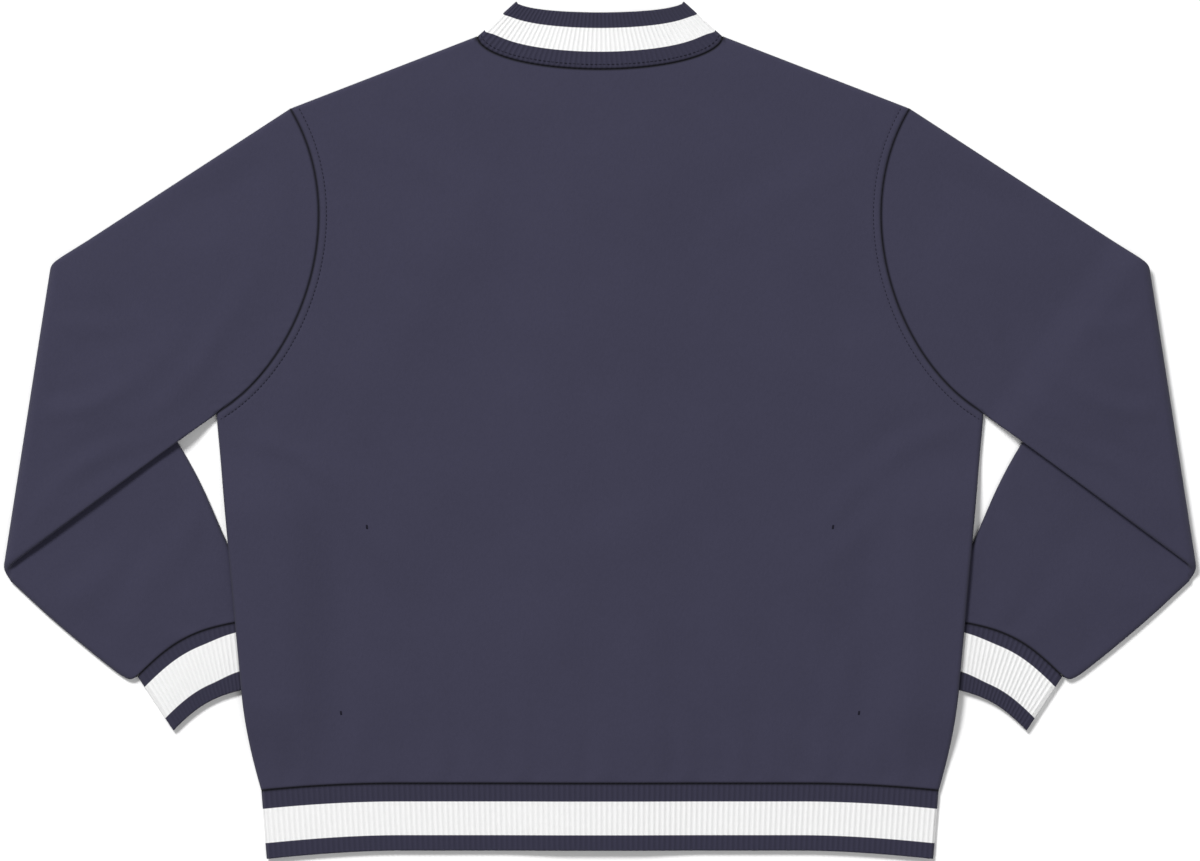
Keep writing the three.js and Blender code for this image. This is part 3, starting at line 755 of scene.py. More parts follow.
sleeve = {
    "elbowTop": (-494.1, 149.4), "elbowBottom": (-537.3, -126.9), "neutralRadius": 4.15,
    "forearmInner": [(-379.8, -11.7), (-334.8, -103.5), (-309.6, -153.0)],
    "forearmOuter": [(-492.8, -171.0), (-449.6, -207.0), (-426.5, -223.6)],
    "liftFrom": -44.0, "liftTo": -6.0, "tuck": 0.8, "tuckReach": 2.0, "ownRollFrom": 32.0,
    "squareBy": 0.5,  # share of the forearm after which its rings lie square to it
    "underarmInsets": [0, 1.5, 5, 12, 22, 36],
    "acrossCount": 76, "upperCount": 74, "foldCount": 14, "forearmCount": 84, "edgeSteps": 600,
    "seamInsets": [0, 0.25, 0.6, 1.1, 1.8, 3.0, 4.5], "evenFrom": 7.0,
    "upperLength": 225.0, "forearmLength": 205.0,
    "calmAtRim": 0.12, "calmFromArmhole": (6, 55), "calmAboveElbow": (1, 0.93),
    "calmBelowElbow": (0, 0.15), "calmFromCuff": (4, 40),
    "upperWaves": (-900, 0), "forearmWaves": (700, -300),  # so that no two parts have the same waves
}
cuff = {
    "width": 110.0,
    "seamOuter": (-416.7, -222.3), "seamInner": (-318.6, -171.9),
    "edgeOuter": (-384.6, -270.9), "edgeInner": (-315.0, -232.2),
    "seamBow": 11.0, "edgeBow": 7.0, "length": 59.0,
    "stripeAtInner": (8.2, 42.6), "stripe": (11.4, 45.8), "stripeBlend": (0.05, 0.4),
}
rollSteps = np.radians([0, 15, 32, 50, 70, 90])
rollInsets = cloth["rollRadius"] * (1 - np.cos(rollSteps))  # from the rim of a flattened tube
rimCount = len(rollSteps) - 1


def tubePlaces(flatCount):
    # Places round a flattened tube: which end a rolled one is counted from, its step of the roll,
    # a flat one's share of the flat part, and how far out they are from the tube's middle
    r = cloth["rollRadius"]
    outs = r * np.sin(rollSteps[:-1])
    up, flat = np.arange(rimCount), np.full(flatCount, rimCount)
    shares = np.linspace(0, 1, flatCount)
    roll = np.full(rimCount, np.nan)
    step = np.concatenate([up, flat, up[::-1], up[1:], flat, up[:0:-1]])
    share = np.concatenate([roll, shares, roll, roll[1:], shares[::-1], roll[1:]])
    end = np.concatenate([0 * up, 0 * flat, 0 * up + 1, 0 * up[1:] + 1, 0 * flat, 0 * up[1:]])
    out = np.concatenate([outs, 0 * shares + r, outs[::-1], -outs[1:], 0 * shares - r, -outs[:0:-1]])
    return {"end": end, "step": step, "share": share, "out": out}


def alongWidth(places, width, starts=rollInsets, ends=rollInsets):
    flat = starts[-1] + np.nan_to_num(places["share"]) * (width - starts[-1] - ends[-1])
    rolled = np.where(places["end"] == 0, starts[places["step"]], width - ends[places["step"]])
    return np.where(np.isnan(places["share"]), rolled, flat)


elbowTop, elbowBottom = np.array(sleeve["elbowTop"]), np.array(sleeve["elbowBottom"])
shoulderEnd = np.array([-body["shoulderAcross"], body["shoulderUp"]])
underarmEnd = np.array([-body["underarmAcross"], body["underarmUp"]])
foldWay = unit(elbowBottom - elbowTop)
foldOut = rightOf(foldWay)


def onAxis(start, corner):
    edge = start - corner
    share = (sleeve["neutralRadius"] + cloth["rollRadius"]) / -edge.dot(foldOut)
    return corner + edge * share


axisTop, axisBottom = onAxis(shoulderEnd, elbowTop), onAxis(underarmEnd, elbowBottom)
axisLength = float(np.linalg.norm(axisBottom - axisTop))
# The two edges of the sleeve above the elbow, and the sines of their angles with the fold
topWay, bottomWay = unit(elbowTop - shoulderEnd), unit(elbowBottom - underarmEnd)
topSine, bottomSine = topWay.dot(foldOut), bottomWay.dot(foldOut)
# How far the cloth slides along the fold in a quarter of its turn, at each end
slideTop, slideBottom = (elbowTop - axisTop).dot(foldWay), (elbowBottom - axisBottom).dot(foldWay)


def smoothLine(points, count):
    # A curve through the points, in the way of Catmull and Rom, as points at even distances
    p = np.array(points, float)
    p = np.concatenate([[2 * p[0] - p[1]], p, [2 * p[-1] - p[-2]]])
    t = np.linspace(0, len(p) - 3 - 1e-9, 4 * count)
    k, f = t.astype(int), (t % 1)[:, None]
    a, b, c, d = p[k], p[k + 1], p[k + 2], p[k + 3]
    squared, cubed = (2 * a - 5 * b + 4 * c - d) * f**2, (3 * b - a - 3 * c + d) * f**3
    line = 0.5 * (2 * b + (c - a) * f + squared + cubed)
    run = runAlong(line)
    return pointsAt(np.linspace(0, run[-1], count), run, line)


innerStart, outerStart = axisTop + 2 * slideTop * foldWay, axisBottom + 2 * slideBottom * foldWay
edgeShares = np.linspace(0, 1, sleeve["edgeSteps"])
innerEdge, outerEdge = (
    smoothLine([start, *sleeve[edge], cuff[seam]], sleeve["edgeSteps"])
    for start, edge, seam in (
        (innerStart, "forearmInner", "seamInner"), (outerStart, "forearmOuter", "seamOuter"),
    )
)


def fromEdge(plan, corner, way):  # how far inside an edge of the upper sleeve a point lies
    return np.abs((plan[..., 0] - corner[0]) * way[1] - (plan[..., 1] - corner[1]) * way[0])


def acrossTube(start, end, bow, places, facing, starts=rollInsets, ends=rollInsets):
    # One ring across the forearm or the cuff, bowed towards the elbow
    width = float(np.linalg.norm(end - start))
    way = (end - start) / width
    along = alongWidth(places, width, starts, ends)
    bowed = (bow * np.sin(math.pi * along / width))[:, None] * rightOf(way)
    plan = start + along[:, None] * way + bowed
    return np.column_stack([plan, cloth["rollRadius"] + facing * places["out"]])


def sleeveLift(x, y):
    inner = unit(np.array(sleeve["forearmInner"][0]) - elbowTop)
    into = (x - elbowTop[0]) * inner[1] - (y - elbowTop[1]) * inner[0]
    return cloth["stackHeight"] * ease(into, sleeve["liftFrom"], sleeve["liftTo"])


def sleeveRings(places):
    # The sleeve as rings from the armhole over the folded elbow to the cuff
    rings, sections, outs = [], [], []
    upperLength, forearmLength = sleeve["upperLength"], sleeve["forearmLength"]
    insets, evenFrom = np.array(sleeve["seamInsets"]), sleeve["evenFrom"]
    evenShares = np.linspace(evenFrom / upperLength, 1, sleeve["upperCount"])
    # The armhole runs into the lower edge at a slant, so its rim takes up more of it
    girth = alongWidth(places, armholeLength, rollInsets, np.array(sleeve["underarmInsets"]))
    atArmhole = alongArmhole(girth, armhole) * [-1, 1]
    tucked = rightOf(alongArmhole(girth, armholeTangent)) * [-1, 1] * sleeve["tuck"]
    elbowShare = alongWidth(places, axisLength, rollInsets / topSine, rollInsets / bottomSine)
    elbowShare = elbowShare / axisLength
    atElbow = axisTop + elbowShare[:, None] * (axisBottom - axisTop)
    bodyOut = rollHeight(foldInset(*atArmhole.T)) * np.sign(places["out"])
    for share in np.concatenate([insets / upperLength, evenShares]):
        run = share * upperLength
        out = mix(bodyOut, places["out"], ease(run, 0, sleeve["ownRollFrom"]))
        plan = mix(atArmhole, atElbow, share) + tucked * ease(run, sleeve["tuckReach"], 0)
        height = sleeveLift(*plan.T) + cloth["rollRadius"] + out
        rings.append(np.column_stack([plan, height]))
        outs.append(out)
        sections.append(("upper", share))
    for turn in np.linspace(0, math.pi, sleeve["foldCount"] + 2)[1:-1]:
        reach = sleeve["neutralRadius"] + places["out"]
        slide = mix(slideTop, slideBottom, elbowShare) * turn / (math.pi / 2)
        plan = atElbow + (reach * math.sin(turn))[:, None] * foldOut + slide[:, None] * foldWay
        height = sleeve["neutralRadius"] + cloth["rollRadius"] + reach * math.cos(turn)
        rings.append(np.column_stack([plan, height]))
        sections.append(("fold", turn / math.pi))
    shares = np.concatenate([
        np.linspace(0, 1 - evenFrom / forearmLength, sleeve["forearmCount"]),
        1 - insets[::-1] / forearmLength,
    ])
    for share in shares:
        square = ease(share, 0, sleeve["squareBy"])
        starts, ends = (rollInsets * mix(1 / sine, 1, square) for sine in (topSine, bottomSine))
        start, end = (pointsAt(share, edgeShares, edge) for edge in (innerEdge, outerEdge))
        bow = cuff["seamBow"] * share**3
        rings.append(acrossTube(start, end, bow, places, -1, starts, ends))
        sections.append(("forearm", share))
    return np.stack(rings, axis=1), sections, np.stack(outs, axis=1)


def cuffSeamLine():
    start, end = np.array(cuff["seamInner"]), np.array(cuff["seamOuter"])
    share = np.linspace(0, 1, 60)[:, None]
    bow = cuff["seamBow"] * np.sin(math.pi * share) * rightOf(unit(end - start))
    return start + share * (end - start) + bow


def upperNormals(base, outs):  # of the sleeve above the elbow, from how far out its places are
    upright = outs / cloth["rollRadius"]
    lean = np.sqrt(np.maximum(0, 1 - upright**2))[..., None]
    nearTop = fromEdge(base, elbowTop, topWay) < fromEdge(base, elbowBottom, bottomWay)
    aside = np.where(nearTop[..., None], rightOf(topWay), -rightOf(bottomWay))
    return np.concatenate([lean * aside, upright[..., None]], axis=2)


def sleeveFolds(base, sections, places):
    x, y = base[..., 0], base[..., 1]
    upper, forearm = (np.array([kind == part for kind, _ in sections]) for part in ("upper", "forearm"))
    along = np.array([share for _, share in sections])
    rim, share = sleeve["calmAtRim"], np.nan_to_num(places["share"])
    isFlat = ~np.isnan(places["share"])
    inside = (ease(share, 0, rim) * ease(share, 1, 1 - rim) * isFlat)[:, None]
    fromArmhole = distanceToLine(np.abs(x), y, armhole)
    fromCuff = distanceToLine(x, y, cuffSeamLine())
    upperOnTop = (places["out"] > 0)[:, None] & upper
    forearmOnTop = (places["out"] < 0)[:, None] & forearm

    def swelling(folds, shift):
        return foldHeight(folds, x, y) + waveHeight(x + shift[0], y + shift[1])

    calm = ease(fromArmhole, *sleeve["calmFromArmhole"]) * ease(along, *sleeve["calmAboveElbow"])
    calmBelow = ease(fromCuff, *sleeve["calmFromCuff"]) * ease(along, *sleeve["calmBelowElbow"])
    above = calm * swelling(upperFolds, sleeve["upperWaves"])
    below = calmBelow * swelling(forearmFolds, sleeve["forearmWaves"])
    pulled = gathers(alongWidth(places, cuff["width"])[:, None], fromCuff, 2.1)
    raised = inside * (upperOnTop * above + forearmOnTop * (below + pulled))
    fullness = (np.abs(places["out"]) / cloth["rollRadius"])[:, None]
    # the seams turn down, and their creases get painted shade, kept at the points as "seam"
    seams, paintedShadeAmount = (
        np.where(upper, falling(fromArmhole), np.where(forearm, falling(fromCuff), 0))
        for falling in (seamDrop, paintedSeamShade)
    )
    return raised, fullness * (puckers(y, fromArmhole) * upperOnTop - seams), paintedShadeAmount


def makeSleeve(name, side):
    places = tubePlaces(sleeve["acrossCount"])
    base, sections, outs = sleeveRings(places)
    raised, detail, paintedShadeAmount = sleeveFolds(base, sections, places)
    base[..., 2] += raised
    normals = gridNormals(base, closesRound=True)
    if normals[rimCount + 4, 10, 2] < 0:  # a place on the side that faces up
        normals = -normals
    last = outs.shape[1] - 1  # the ring at the elbow also belongs to the fold
    normals[:, :last] = upperNormals(base[:, :last], outs[:, :last])
    outer = base + normals * detail[..., None]
    inner = base - normals * cloth["wall"]
    run = np.cumsum(np.linalg.norm(np.diff(base, axis=1, prepend=base[:, :1]), axis=2), axis=1)
    mirror = np.array([-side, 1, 1])
    deep = np.concatenate([run, run[:1]])
    across = np.broadcast_to(np.append(alongWidth(places, armholeLength), 0)[:, None], deep.shape)
    piece = wallMesh(name, outer * mirror, inner * mirror, wool, True, across, deep, seam=paintedShadeAmount)
    return piece, gridArea(base, True)


sleeveLeft, sleeveArea = makeSleeve("sleeveClothLeft", -1)
sleeveRight, _ = makeSleeve("sleeveClothRight", 1)
print("sleeves made", len(sleeveLeft.data.polygons), "faces", round(sleeveArea, 3), "square metres")

# Knitted bands, with their ribs

ribs = {
    "pitch": 4.8, "depth": 0.8, "tuckedUnder": 0.5, "rows": 12, "fineStep": 0.6, "plainStep": 1.2,
    "seamRound": 1.2, "edgeRound": 1.45, "innerRound": 1.3, "rimShare": 0.6, "fullness": 0.8,
    "seamInsets": [0, 0.25, 0.6, 1.1, 1.8, 3.0], "afterSeam": 1.6,
    "edgeInsets": [0, 0.2, 0.5, 0.9, 1.5], "beforeEdge": 0.99,
}
hemBand = {"edgeAcross": 300.2, "height": 60.3, "sideHeight": 61.5, "stripe": (15.9, 46.4)}
collar = {
    "edgeAcross": 75.6, "edgeUp": 386.1, "backDip": 10.3, "frontDip": 69.0, "parting": 1.5,
    "length": 51.0, "stripeMiddle": (0.303, 0.724), "stripeSide": (0.18, 0.66), "stripeTurn": 34,
}


def ribDepth(run):
    wave = 0.5 - 0.5 * np.cos(2 * math.pi * run / ribs["pitch"])
    return ribs["depth"] * wave ** ribs["fullness"]


def bandShares(height):
    start = (np.array(ribs["seamInsets"]) - ribs["tuckedUnder"]) / height
    end = 1 - np.array(ribs["edgeInsets"])[::-1] / height
    even = np.linspace(start[-1] * ribs["afterSeam"], end[0] * ribs["beforeEdge"], ribs["rows"])
    return np.concatenate([start, even, end])


def bandPiece(name, base, run, shares, height, stripe, closesRound=False):
    side = np.sign(base[..., 2] - cloth["rollRadius"] - 0.01)
    normals = outwards(gridNormals(base, closesRound), side)
    deep = shares * height
    turned = seamDrop(deep, ribs["seamRound"]) + seamDrop(height - deep, ribs["edgeRound"])
    upright = np.abs(normals[..., 2])  # the rim of a flattened tube keeps its outline
    sunk = mix(ribs["rimShare"], 1, upright) * ribDepth(run)[:, None] + upright * turned
    outer = base - normals * sunk[..., None]
    wall = cloth["wall"] - seamDrop(height - deep, ribs["innerRound"])
    inner = base - normals * wall[:, None]
    # how deep the ribs sink at each point, for the painted shade in their grooves
    paintedRibShade = (ribDepth(run) / ribs["depth"])[:, None]
    if closesRound:
        run = np.append(run, run[-1] + np.linalg.norm(base[0, 0] - base[-1, 0]))
    across, depths = np.meshgrid(run, deep, indexing="ij")
    # the "seam" values are painted shade in the crease of the band's seam
    values = {"stripe": stripe, "seam": paintedSeamShade(deep), "paintedRibShade": paintedRibShade}
    piece = wallMesh(name, outer, inner, knit, closesRound, across, depths, **values)
    return piece, gridArea(base, closesRound)


def risen(x, onBack, onLeft):  # in the overlap, a front's end lies past the middle
    front = np.where(onLeft, opening["leftRise"], opening["rightRise"])
    return np.where(onBack, backRise(x), front * frontRise(x))


def makeHemBand():
    r, half = cloth["rollRadius"], body["hemAcross"]
    flat = half - r
    rollRun = math.pi * r
    frontRun = flat + opening["overlapHalf"]
    back = np.arange(-flat - rollRun, flat + rollRun, ribs["fineStep"])
    front = np.arange(flat + rollRun, flat + rollRun + frontRun, ribs["plainStep"])
    run = np.concatenate([-front[::-1], back, front])
    beyond = np.abs(run) - flat
    turn = np.clip(beyond / r, 0, math.pi)
    rolled = np.where(beyond < rollRun, flat + r * np.sin(turn), flat - (beyond - rollRun))
    across = np.where(beyond < 0, np.abs(run), rolled) * np.sign(run + 1e-9)
    rise = risen(across, beyond < rollRun / 2, run < 0)
    towardsSide = ease(np.abs(across), body["hemCurveFrom"], half)
    height = mix(hemBand["height"], hemBand["sideHeight"], towardsSide)
    shares = bandShares(hemBand["height"])
    narrowing = mix(1, hemBand["edgeAcross"] / half, shares)
    x = across[:, None] * narrowing[None, :]
    y = (hemSeamUp(across) - cloth["seamGap"] / 2)[:, None] - height[:, None] * shares[None, :]
    z = (r + r * np.cos(turn) + rise)[:, None] + 0 * x
    base = np.stack([x, y, z], axis=-1)
    low, high = hemBand["stripe"]
    stripe = (shares * hemBand["height"] - low) / (high - low)
    return bandPiece("hemKnit", base, run, shares, hemBand["height"], stripe)


def collarSpots(drop, dip, start, end, step):
    # Turns round the neckline's ellipse, a fixed length of seam apart, with their points
    fine = np.linspace(start, end, 4000)
    line = np.column_stack([body["neckAcross"] * np.cos(fine), -drop * np.sin(fine)])
    run = runAlong(line)
    count = max(2, int(run[-1] / step))
    turns = np.interp(np.linspace(0, run[-1], count), run, fine)
    across, deep = np.cos(turns), np.sin(turns)
    seam = np.column_stack([body["neckAcross"] * across, body["neckUp"] - drop * deep])
    inwards = np.column_stack([-across / body["neckAcross"], deep / drop])
    seam += cloth["seamGap"] * inwards / np.linalg.norm(inwards, axis=1)[:, None]
    edge = np.column_stack([collar["edgeAcross"] * across, collar["edgeUp"] - dip * deep])
    return turns, seam, edge


def makeCollar():
    middle = math.acos(collar["parting"] / body["neckAcross"])
    frontTurns, frontSeam, frontEdge = collarSpots(
        body["frontDrop"], collar["frontDip"], middle, 0, ribs["plainStep"],
    )
    backTurns, backSeam, backEdge = collarSpots(
        body["backDrop"], collar["backDip"], 0, math.pi, ribs["fineStep"],
    )
    flip = np.array([-1, 1])
    # From the right front's end over the back to the left front's end
    seam = np.concatenate([frontSeam[:-1], backSeam, (frontSeam * flip)[-2::-1]])
    edge = np.concatenate([frontEdge[:-1], backEdge, (frontEdge * flip)[-2::-1]])
    turns = np.concatenate([frontTurns[:-1], backTurns, math.pi - frontTurns[-2::-1]])
    onBack = np.zeros(len(turns), bool)
    onBack[len(frontTurns) - 1:len(frontTurns) - 1 + len(backTurns)] = True
    shares = bandShares(collar["length"])
    plan = seam[:, None, :] + (edge - seam)[:, None, :] * shares[None, :, None]
    foldLine = [(body["neckAcross"], body["neckUp"]), (collar["edgeAcross"], collar["edgeUp"])]
    inset = distanceToLine(np.abs(plan[..., 0]), plan[..., 1], foldLine)
    roll = rollHeight(inset)
    rise = risen(seam[:, 0], onBack, seam[:, 0] < 0)[:, None]
    z = cloth["rollRadius"] + np.where(onBack[:, None], roll, -roll) + rise
    base = np.concatenate([plan, z[..., None]], axis=2)
    run = runAlong(seam)
    run = run - run[-1] / 2
    side = np.abs(np.cos(turns)) ** collar["stripeTurn"]
    low, high = (mix(collar["stripeMiddle"][k], collar["stripeSide"][k], side) for k in (0, 1))
    stripe = (shares[None, :] - low[:, None]) / (high - low)[:, None]
    return bandPiece("collarKnit", base, run, shares, collar["length"], stripe)


def makeCuff(name, side):
    places = tubePlaces(int(cuff["width"] / ribs["fineStep"]))
    shares = bandShares(cuff["length"])
    rings = []
    for share in shares:
        start, end = (
            mix(np.array(cuff[seam]), np.array(cuff[edge]), share)
            for seam, edge in (("seamInner", "edgeInner"), ("seamOuter", "edgeOuter"))
        )
        rings.append(acrossTube(start, end, mix(cuff["seamBow"], cuff["edgeBow"], share), places, 1))
    base = np.stack(rings, axis=1)
    # The stripe starts nearer to the seam where the cuff lies under the body
    fromInner = ease(alongWidth(places, cuff["width"]) / cuff["width"], *cuff["stripeBlend"])[:, None]
    low, high = (mix(cuff["stripeAtInner"][k], cuff["stripe"][k], fromInner) for k in (0, 1))
    stripe = (shares * cuff["length"] - low) / (high - low)
    base = base * np.array([-side, 1, 1])
    return bandPiece(name, base, runAlong(base[:, 0]), shares, cuff["length"], stripe, True)


hemKnit, hemArea = makeHemBand()
collarKnit, collarArea = makeCollar()
cuffLeft, cuffArea = makeCuff("cuffKnitLeft", -1)
cuffRight, _ = makeCuff("cuffKnitRight", 1)
print("bands made", *[len(band.data.polygons) for band in (hemKnit, collarKnit, cuffLeft)])

# Pocket welts and snaps, on the side that lies on the floor

welt = {"top": (209.7, -85.5), "bottom": (233.1, -252.9), "width": 22.0, "edgeRound": 1.1}
snap = {
    "radius": 7.5, "height": 1.2, "sides": 40, "ups": [*np.linspace(246, -296, 6), -349.0],
    "rim": 1.3, "edgeRound": 0.35, "dishEdge": 0.4, "dishDepth": 0.25, "sharpAbove": 35,
}


def blockOnFront(side, spare, tall):
    # A block as large as a welt and that much spare all round, lying where the welt is
    top, bottom = np.array(welt["top"]), np.array(welt["bottom"])
    way = unit(top - bottom)
    middle = (top + bottom) / 2 - rightOf(way) * welt["width"] / 2
    length = float(np.linalg.norm(top - bottom))
    bpy.ops.mesh.primitive_cube_add(size=1)
    block = bpy.context.object
    block.scale = ((welt["width"] + 2 * spare) * metre, (length + 2 * spare) * metre, tall * metre)
    block.rotation_euler[2] = side * (math.atan2(way[1], way[0]) - math.pi / 2)
    block.location = (side * middle[0] * metre, middle[1] * metre, cloth["wall"] / 2 * metre)
    bpy.ops.object.transform_apply()
    return block


def makeWelt(name, side):
    piece = blockOnFront(side, 0, cloth["wall"])
    piece.name = piece.data.name = name
    bevel = piece.modifiers.new("edge", "BEVEL")
    bevel.width, bevel.segments = welt["edgeRound"] * metre, 4
    bpy.ops.object.modifier_apply(modifier="edge")
    piece.data.materials.append(wool)
    sharpAbove(piece)
    return piece


def cutWindow(front, side):
    cutter = blockOnFront(side, cloth["seamGap"], 2.4 * cloth["wall"])
    selectOnly(front)
    cut = front.modifiers.new("window", "BOOLEAN")
    cut.operation, cut.object, cut.solver = "DIFFERENCE", cutter, "EXACT"
    bpy.ops.object.modifier_apply(modifier="window")
    bpy.data.objects.remove(cutter)
    sharpAbove(front)


def makeSnap(name, up):
    bpy.ops.mesh.primitive_cylinder_add(
        vertices=snap["sides"], radius=snap["radius"] * metre, depth=snap["height"] * metre,
        location=(0, up * metre, snap["height"] / 2 * metre),
    )
    piece = bpy.context.object
    piece.name = piece.data.name = name
    bevel = piece.modifiers.new("edge", "BEVEL")
    bevel.width, bevel.segments, bevel.limit_method = snap["edgeRound"] * metre, 3, "ANGLE"
    bpy.ops.object.modifier_apply(modifier="edge")
    bpy.ops.object.mode_set(mode="EDIT")
    bpy.ops.mesh.select_mode(type="FACE")
    bpy.ops.mesh.select_all(action="DESELECT")
    bpy.ops.object.mode_set(mode="OBJECT")
    for face in piece.data.polygons:
        face.select = face.normal.z < -0.99
    bpy.ops.object.mode_set(mode="EDIT")
    bpy.ops.mesh.inset(thickness=snap["rim"] * metre, depth=0)
    bpy.ops.mesh.inset(thickness=snap["dishEdge"] * metre, depth=-snap["dishDepth"] * metre)
    bpy.ops.object.mode_set(mode="OBJECT")
    bpy.ops.object.transform_apply()
    piece.data.materials.append(snapMetal)
    sharpAbove(piece, snap["sharpAbove"])
    return piece


def copyAlong(piece, name, shift):  # with a mesh of its own, moved along Y
    twin = newObject(name, piece.data.copy())
    twin.data.name = name
    for point in twin.data.vertices:
        point.co.y += shift * metre
    return twin


bpy.ops.object.select_all(action="DESELECT")
cutWindow(frontLeft, -1)
cutWindow(frontRight, 1)
weltLeft, weltRight = makeWelt("weltLeft", -1), makeWelt("weltRight", 1)
firstSnap = makeSnap("snapCap1", snap["ups"][0])
snaps = [firstSnap] + [
    copyAlong(firstSnap, f"snapCap{k}", up - snap["ups"][0]) for k, up in enumerate(snap["ups"][1:], 2)
]
print("welts and snaps made")

# Sewing that shows: rows of stitches along the armholes and the collar, and the tacks of the pockets

stitch = {
    "long": 2.7, "gap": 1.1, "thick": 0.62, "sunk": 0.12, "blunt": 0.12, "endDip": 0.9,
    "clearOfEdge": 2.0, "aboveCollarSeam": 4.0, "collarEndTurn": 0.05, "intoKnit": 0.15,
}
tacks = {
    "spots": [(-209.7, -87.3), (209.7, -87.3), (-233.1, -254.7), (233.1, -254.7)],
    "length": 4.5, "strands": 4, "apart": 0.42, "lean": 0.28,
}


def threadCapsule(rings=5, around=8):
    # One stitch of length 1 along X: a strand that dips into the cloth at both ends
    points, faces = [], []
    for i in range(rings + 1):
        t = i / rings
        radius = 0.5 * math.sin(math.pi * mix(stitch["blunt"], 1 - stitch["blunt"], t)) ** 0.5
        dip = stitch["endDip"] * (2 * t - 1) ** 4
        for j in range(around):
            a = 2 * math.pi * j / around
            points.append((t - 0.5, radius * math.cos(a), radius * math.sin(a) - dip))
    for i in range(rings):
        for j in range(around):
            k = (j + 1) % around
            faces.append((i * around + j, i * around + k, (i + 1) * around + k, (i + 1) * around + j))
    faces.append(tuple(reversed(range(around))))
    faces.append(tuple(range(rings * around, (rings + 1) * around)))
    return np.array(points), faces


def sewRow(name, line, height):
    run = runAlong(line)
    count = int((run[-1] - stitch["gap"]) / (stitch["long"] + stitch["gap"]))
    halves = np.array([-0.5, 0.5]) * stitch["long"]
    middles = (np.arange(count) + 0.5) * run[-1] / count
    ends = [pointsAt(middle + halves, run, line).ravel() for middle in middles]
    return sewStitches(name, ends, height)


def sewStitches(name, ends, height):
    shape, shapeFaces = threadCapsule()
    points, faces = [], []
    for ax, ay, bx, by in ends:
        long = math.hypot(bx - ax, by - ay)
        cx, cy = (ax + bx) / 2, (ay + by) / 2
        ux, uy = (bx - ax) / long, (by - ay) / long
        z = float(height(np.array([cx]), np.array([cy]))[0]) + stitch["thick"] / 2 - stitch["sunk"]
        first = len(points)
        for sx, sy, sz in shape:
            along, aside = sx * long, sy * stitch["thick"]
            x, y = cx + along * ux - aside * uy, cy + along * uy + aside * ux
            points.append((x, y, z + sz * stitch["thick"]))
        faces += [tuple(first + k for k in face) for face in shapeFaces]
    mesh = bpy.data.meshes.new(name)
    mesh.from_pydata((np.array(points) * metre).tolist(), [], faces)
    mesh.materials.append(thread)
    mesh.shade_smooth()
    return newObject(name, mesh)


def insideArmhole(inset):
    line = armhole + rightOf(armholeTangent) * inset
    x, y = line.T
    side, clear = sideAcross(np.minimum(y, body["underarmUp"])), stitch["clearOfEdge"]
    return line[(y < topUp(x, body["backDrop"]) - clear) & (x < side - clear)]


def collarStitchLine():
    end = stitch["collarEndTurn"]
    _, seam, edge = collarSpots(body["backDrop"], collar["backDip"], end, math.pi - end, 1.0)
    way = (edge - seam) / np.linalg.norm(edge - seam, axis=1)[:, None]
    return seam + way * stitch["aboveCollarSeam"]


def collarTop(x, y):
    return cloth["rollRadius"] * 2 + backRise(x) - stitch["intoKnit"]


def sewTacks():
    ends = []
    for x, y in tacks["spots"]:
        lean, half = math.copysign(tacks["lean"], x), tacks["length"] / 2
        for k in range(tacks["strands"]):
            middle = x + (k - (tacks["strands"] - 1) / 2) * tacks["apart"]
            ends.append((middle - lean, y - half, middle + lean, y + half))
    return sewStitches("pocketTacks", ends, backHeight)


armholeRow = insideArmhole(seamLook["stitchInset"])
rows = [
    sewRow("armholeStitchesLeft", armholeRow * [-1, 1], backHeight),
    sewRow("armholeStitchesRight", armholeRow, backHeight),
    sewRow("collarStitches", collarStitchLine(), collarTop),
    sewTacks(),
]
print("sewing made")

# What each piece stands for, and the cloth that it is cut from

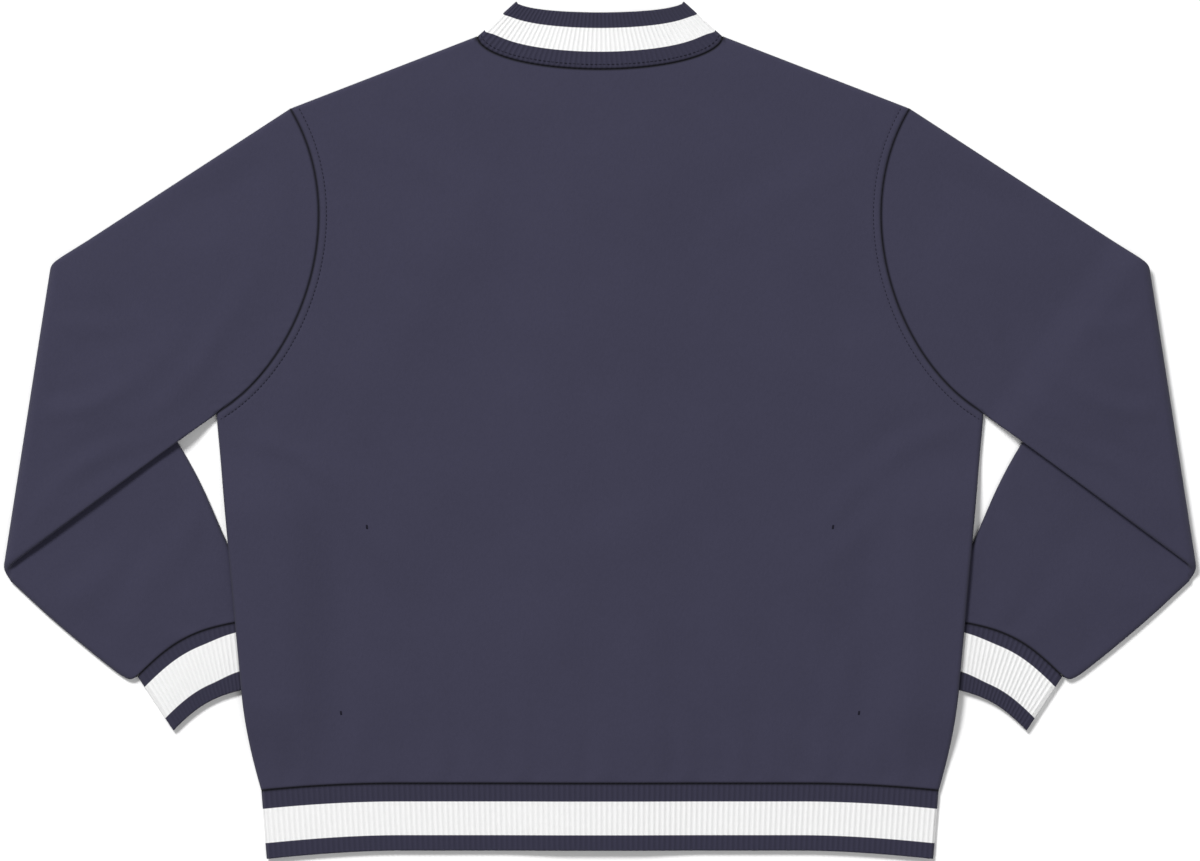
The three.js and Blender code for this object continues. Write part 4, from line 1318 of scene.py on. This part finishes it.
riders = [
    (backCloth, "back", "shell"),
    (frontLeft, "front_left", "shell"), (frontRight, "front_right", "shell"),
    (sleeveLeft, "sleeve_left", "shell"), (sleeveRight, "sleeve_right", "shell"),
    (hemKnit, "hem_band", "knit"), (collarKnit, "collar", "knit"),
    (cuffLeft, "cuff_left", "knit"), (cuffRight, "cuff_right", "knit"),
    (weltLeft, "pocket_welt_left", "shell"), (weltRight, "pocket_welt_right", "shell"),
    *[(cap, f"snap_{k}", "snap") for k, cap in enumerate(snaps, 1)],
]
for piece, node, slot in riders:
    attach(piece, "root")
    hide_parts(node)
for row in rows:
    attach(row, "root")

# Floor, light and camera

studio = {
    "floorSize": 9.0, "floorShade": 0.93, "floorDrop": 0.0002,
    "keyPlace": (-2.2, 3.6, 5.6), "keySize": 2.0, "keyPower": 465.0,
    "fillPlace": (1.5, -1.5, 6.0), "fillSize": 4.0, "fillPower": 90.0, "skyStrength": 0.28,
}
view = {
    "lens": 200.0, "sensor": 36.0, "frameWidth": 1.08, "centre": (0.0, -0.00045),
    "clothHeight": 0.008, "farthest": 50.0,
}


def makeFloor():
    bpy.ops.mesh.primitive_plane_add(size=studio["floorSize"], location=(0, 0, -studio["floorDrop"]))
    floor = bpy.context.object
    floor.name = "floor"
    material, _, shader = startMaterial("pale floor")
    shade = (*[studio["floorShade"]] * 3, 1)
    setInputs(shader, {"Base Color": shade, "Roughness": 0.9, "Specular IOR Level": 0.1})
    floor.data.materials.append(material)


def makeLight(name, place, size, power):
    light = bpy.data.lights.new(name, "AREA")
    light.shape, light.size, light.energy = "DISK", size, power
    lamp = newObject(name, light)
    lamp.location = place
    x, y, z = place
    lamp.rotation_euler = (math.atan2(math.hypot(x, y), z), 0, math.atan2(y, x) + math.pi / 2)


def makeSky():
    world = bpy.data.worlds.new("studio")
    world.use_nodes = True
    sky = world.node_tree.nodes["Background"]
    setInputs(sky, {"Color": (1, 1, 1, 1), "Strength": studio["skyStrength"]})
    bpy.context.scene.world = world


def makeCamera():
    camera = bpy.data.cameras.new("camera")
    camera.lens, camera.sensor_width = view["lens"], view["sensor"]
    camera.clip_end = view["farthest"]
    seat = newObject("camera", camera)
    distance = view["frameWidth"] * view["lens"] / view["sensor"]
    seat.location = (*view["centre"], view["clothHeight"] + distance)
    bpy.context.scene.camera = seat


makeFloor()
makeLight("key", studio["keyPlace"], studio["keySize"], studio["keyPower"])
makeLight("fill", studio["fillPlace"], studio["fillSize"], studio["fillPower"])
makeSky()
makeCamera()
bpy.context.scene.view_settings.view_transform = "Standard"
print("floor, lights and camera set")
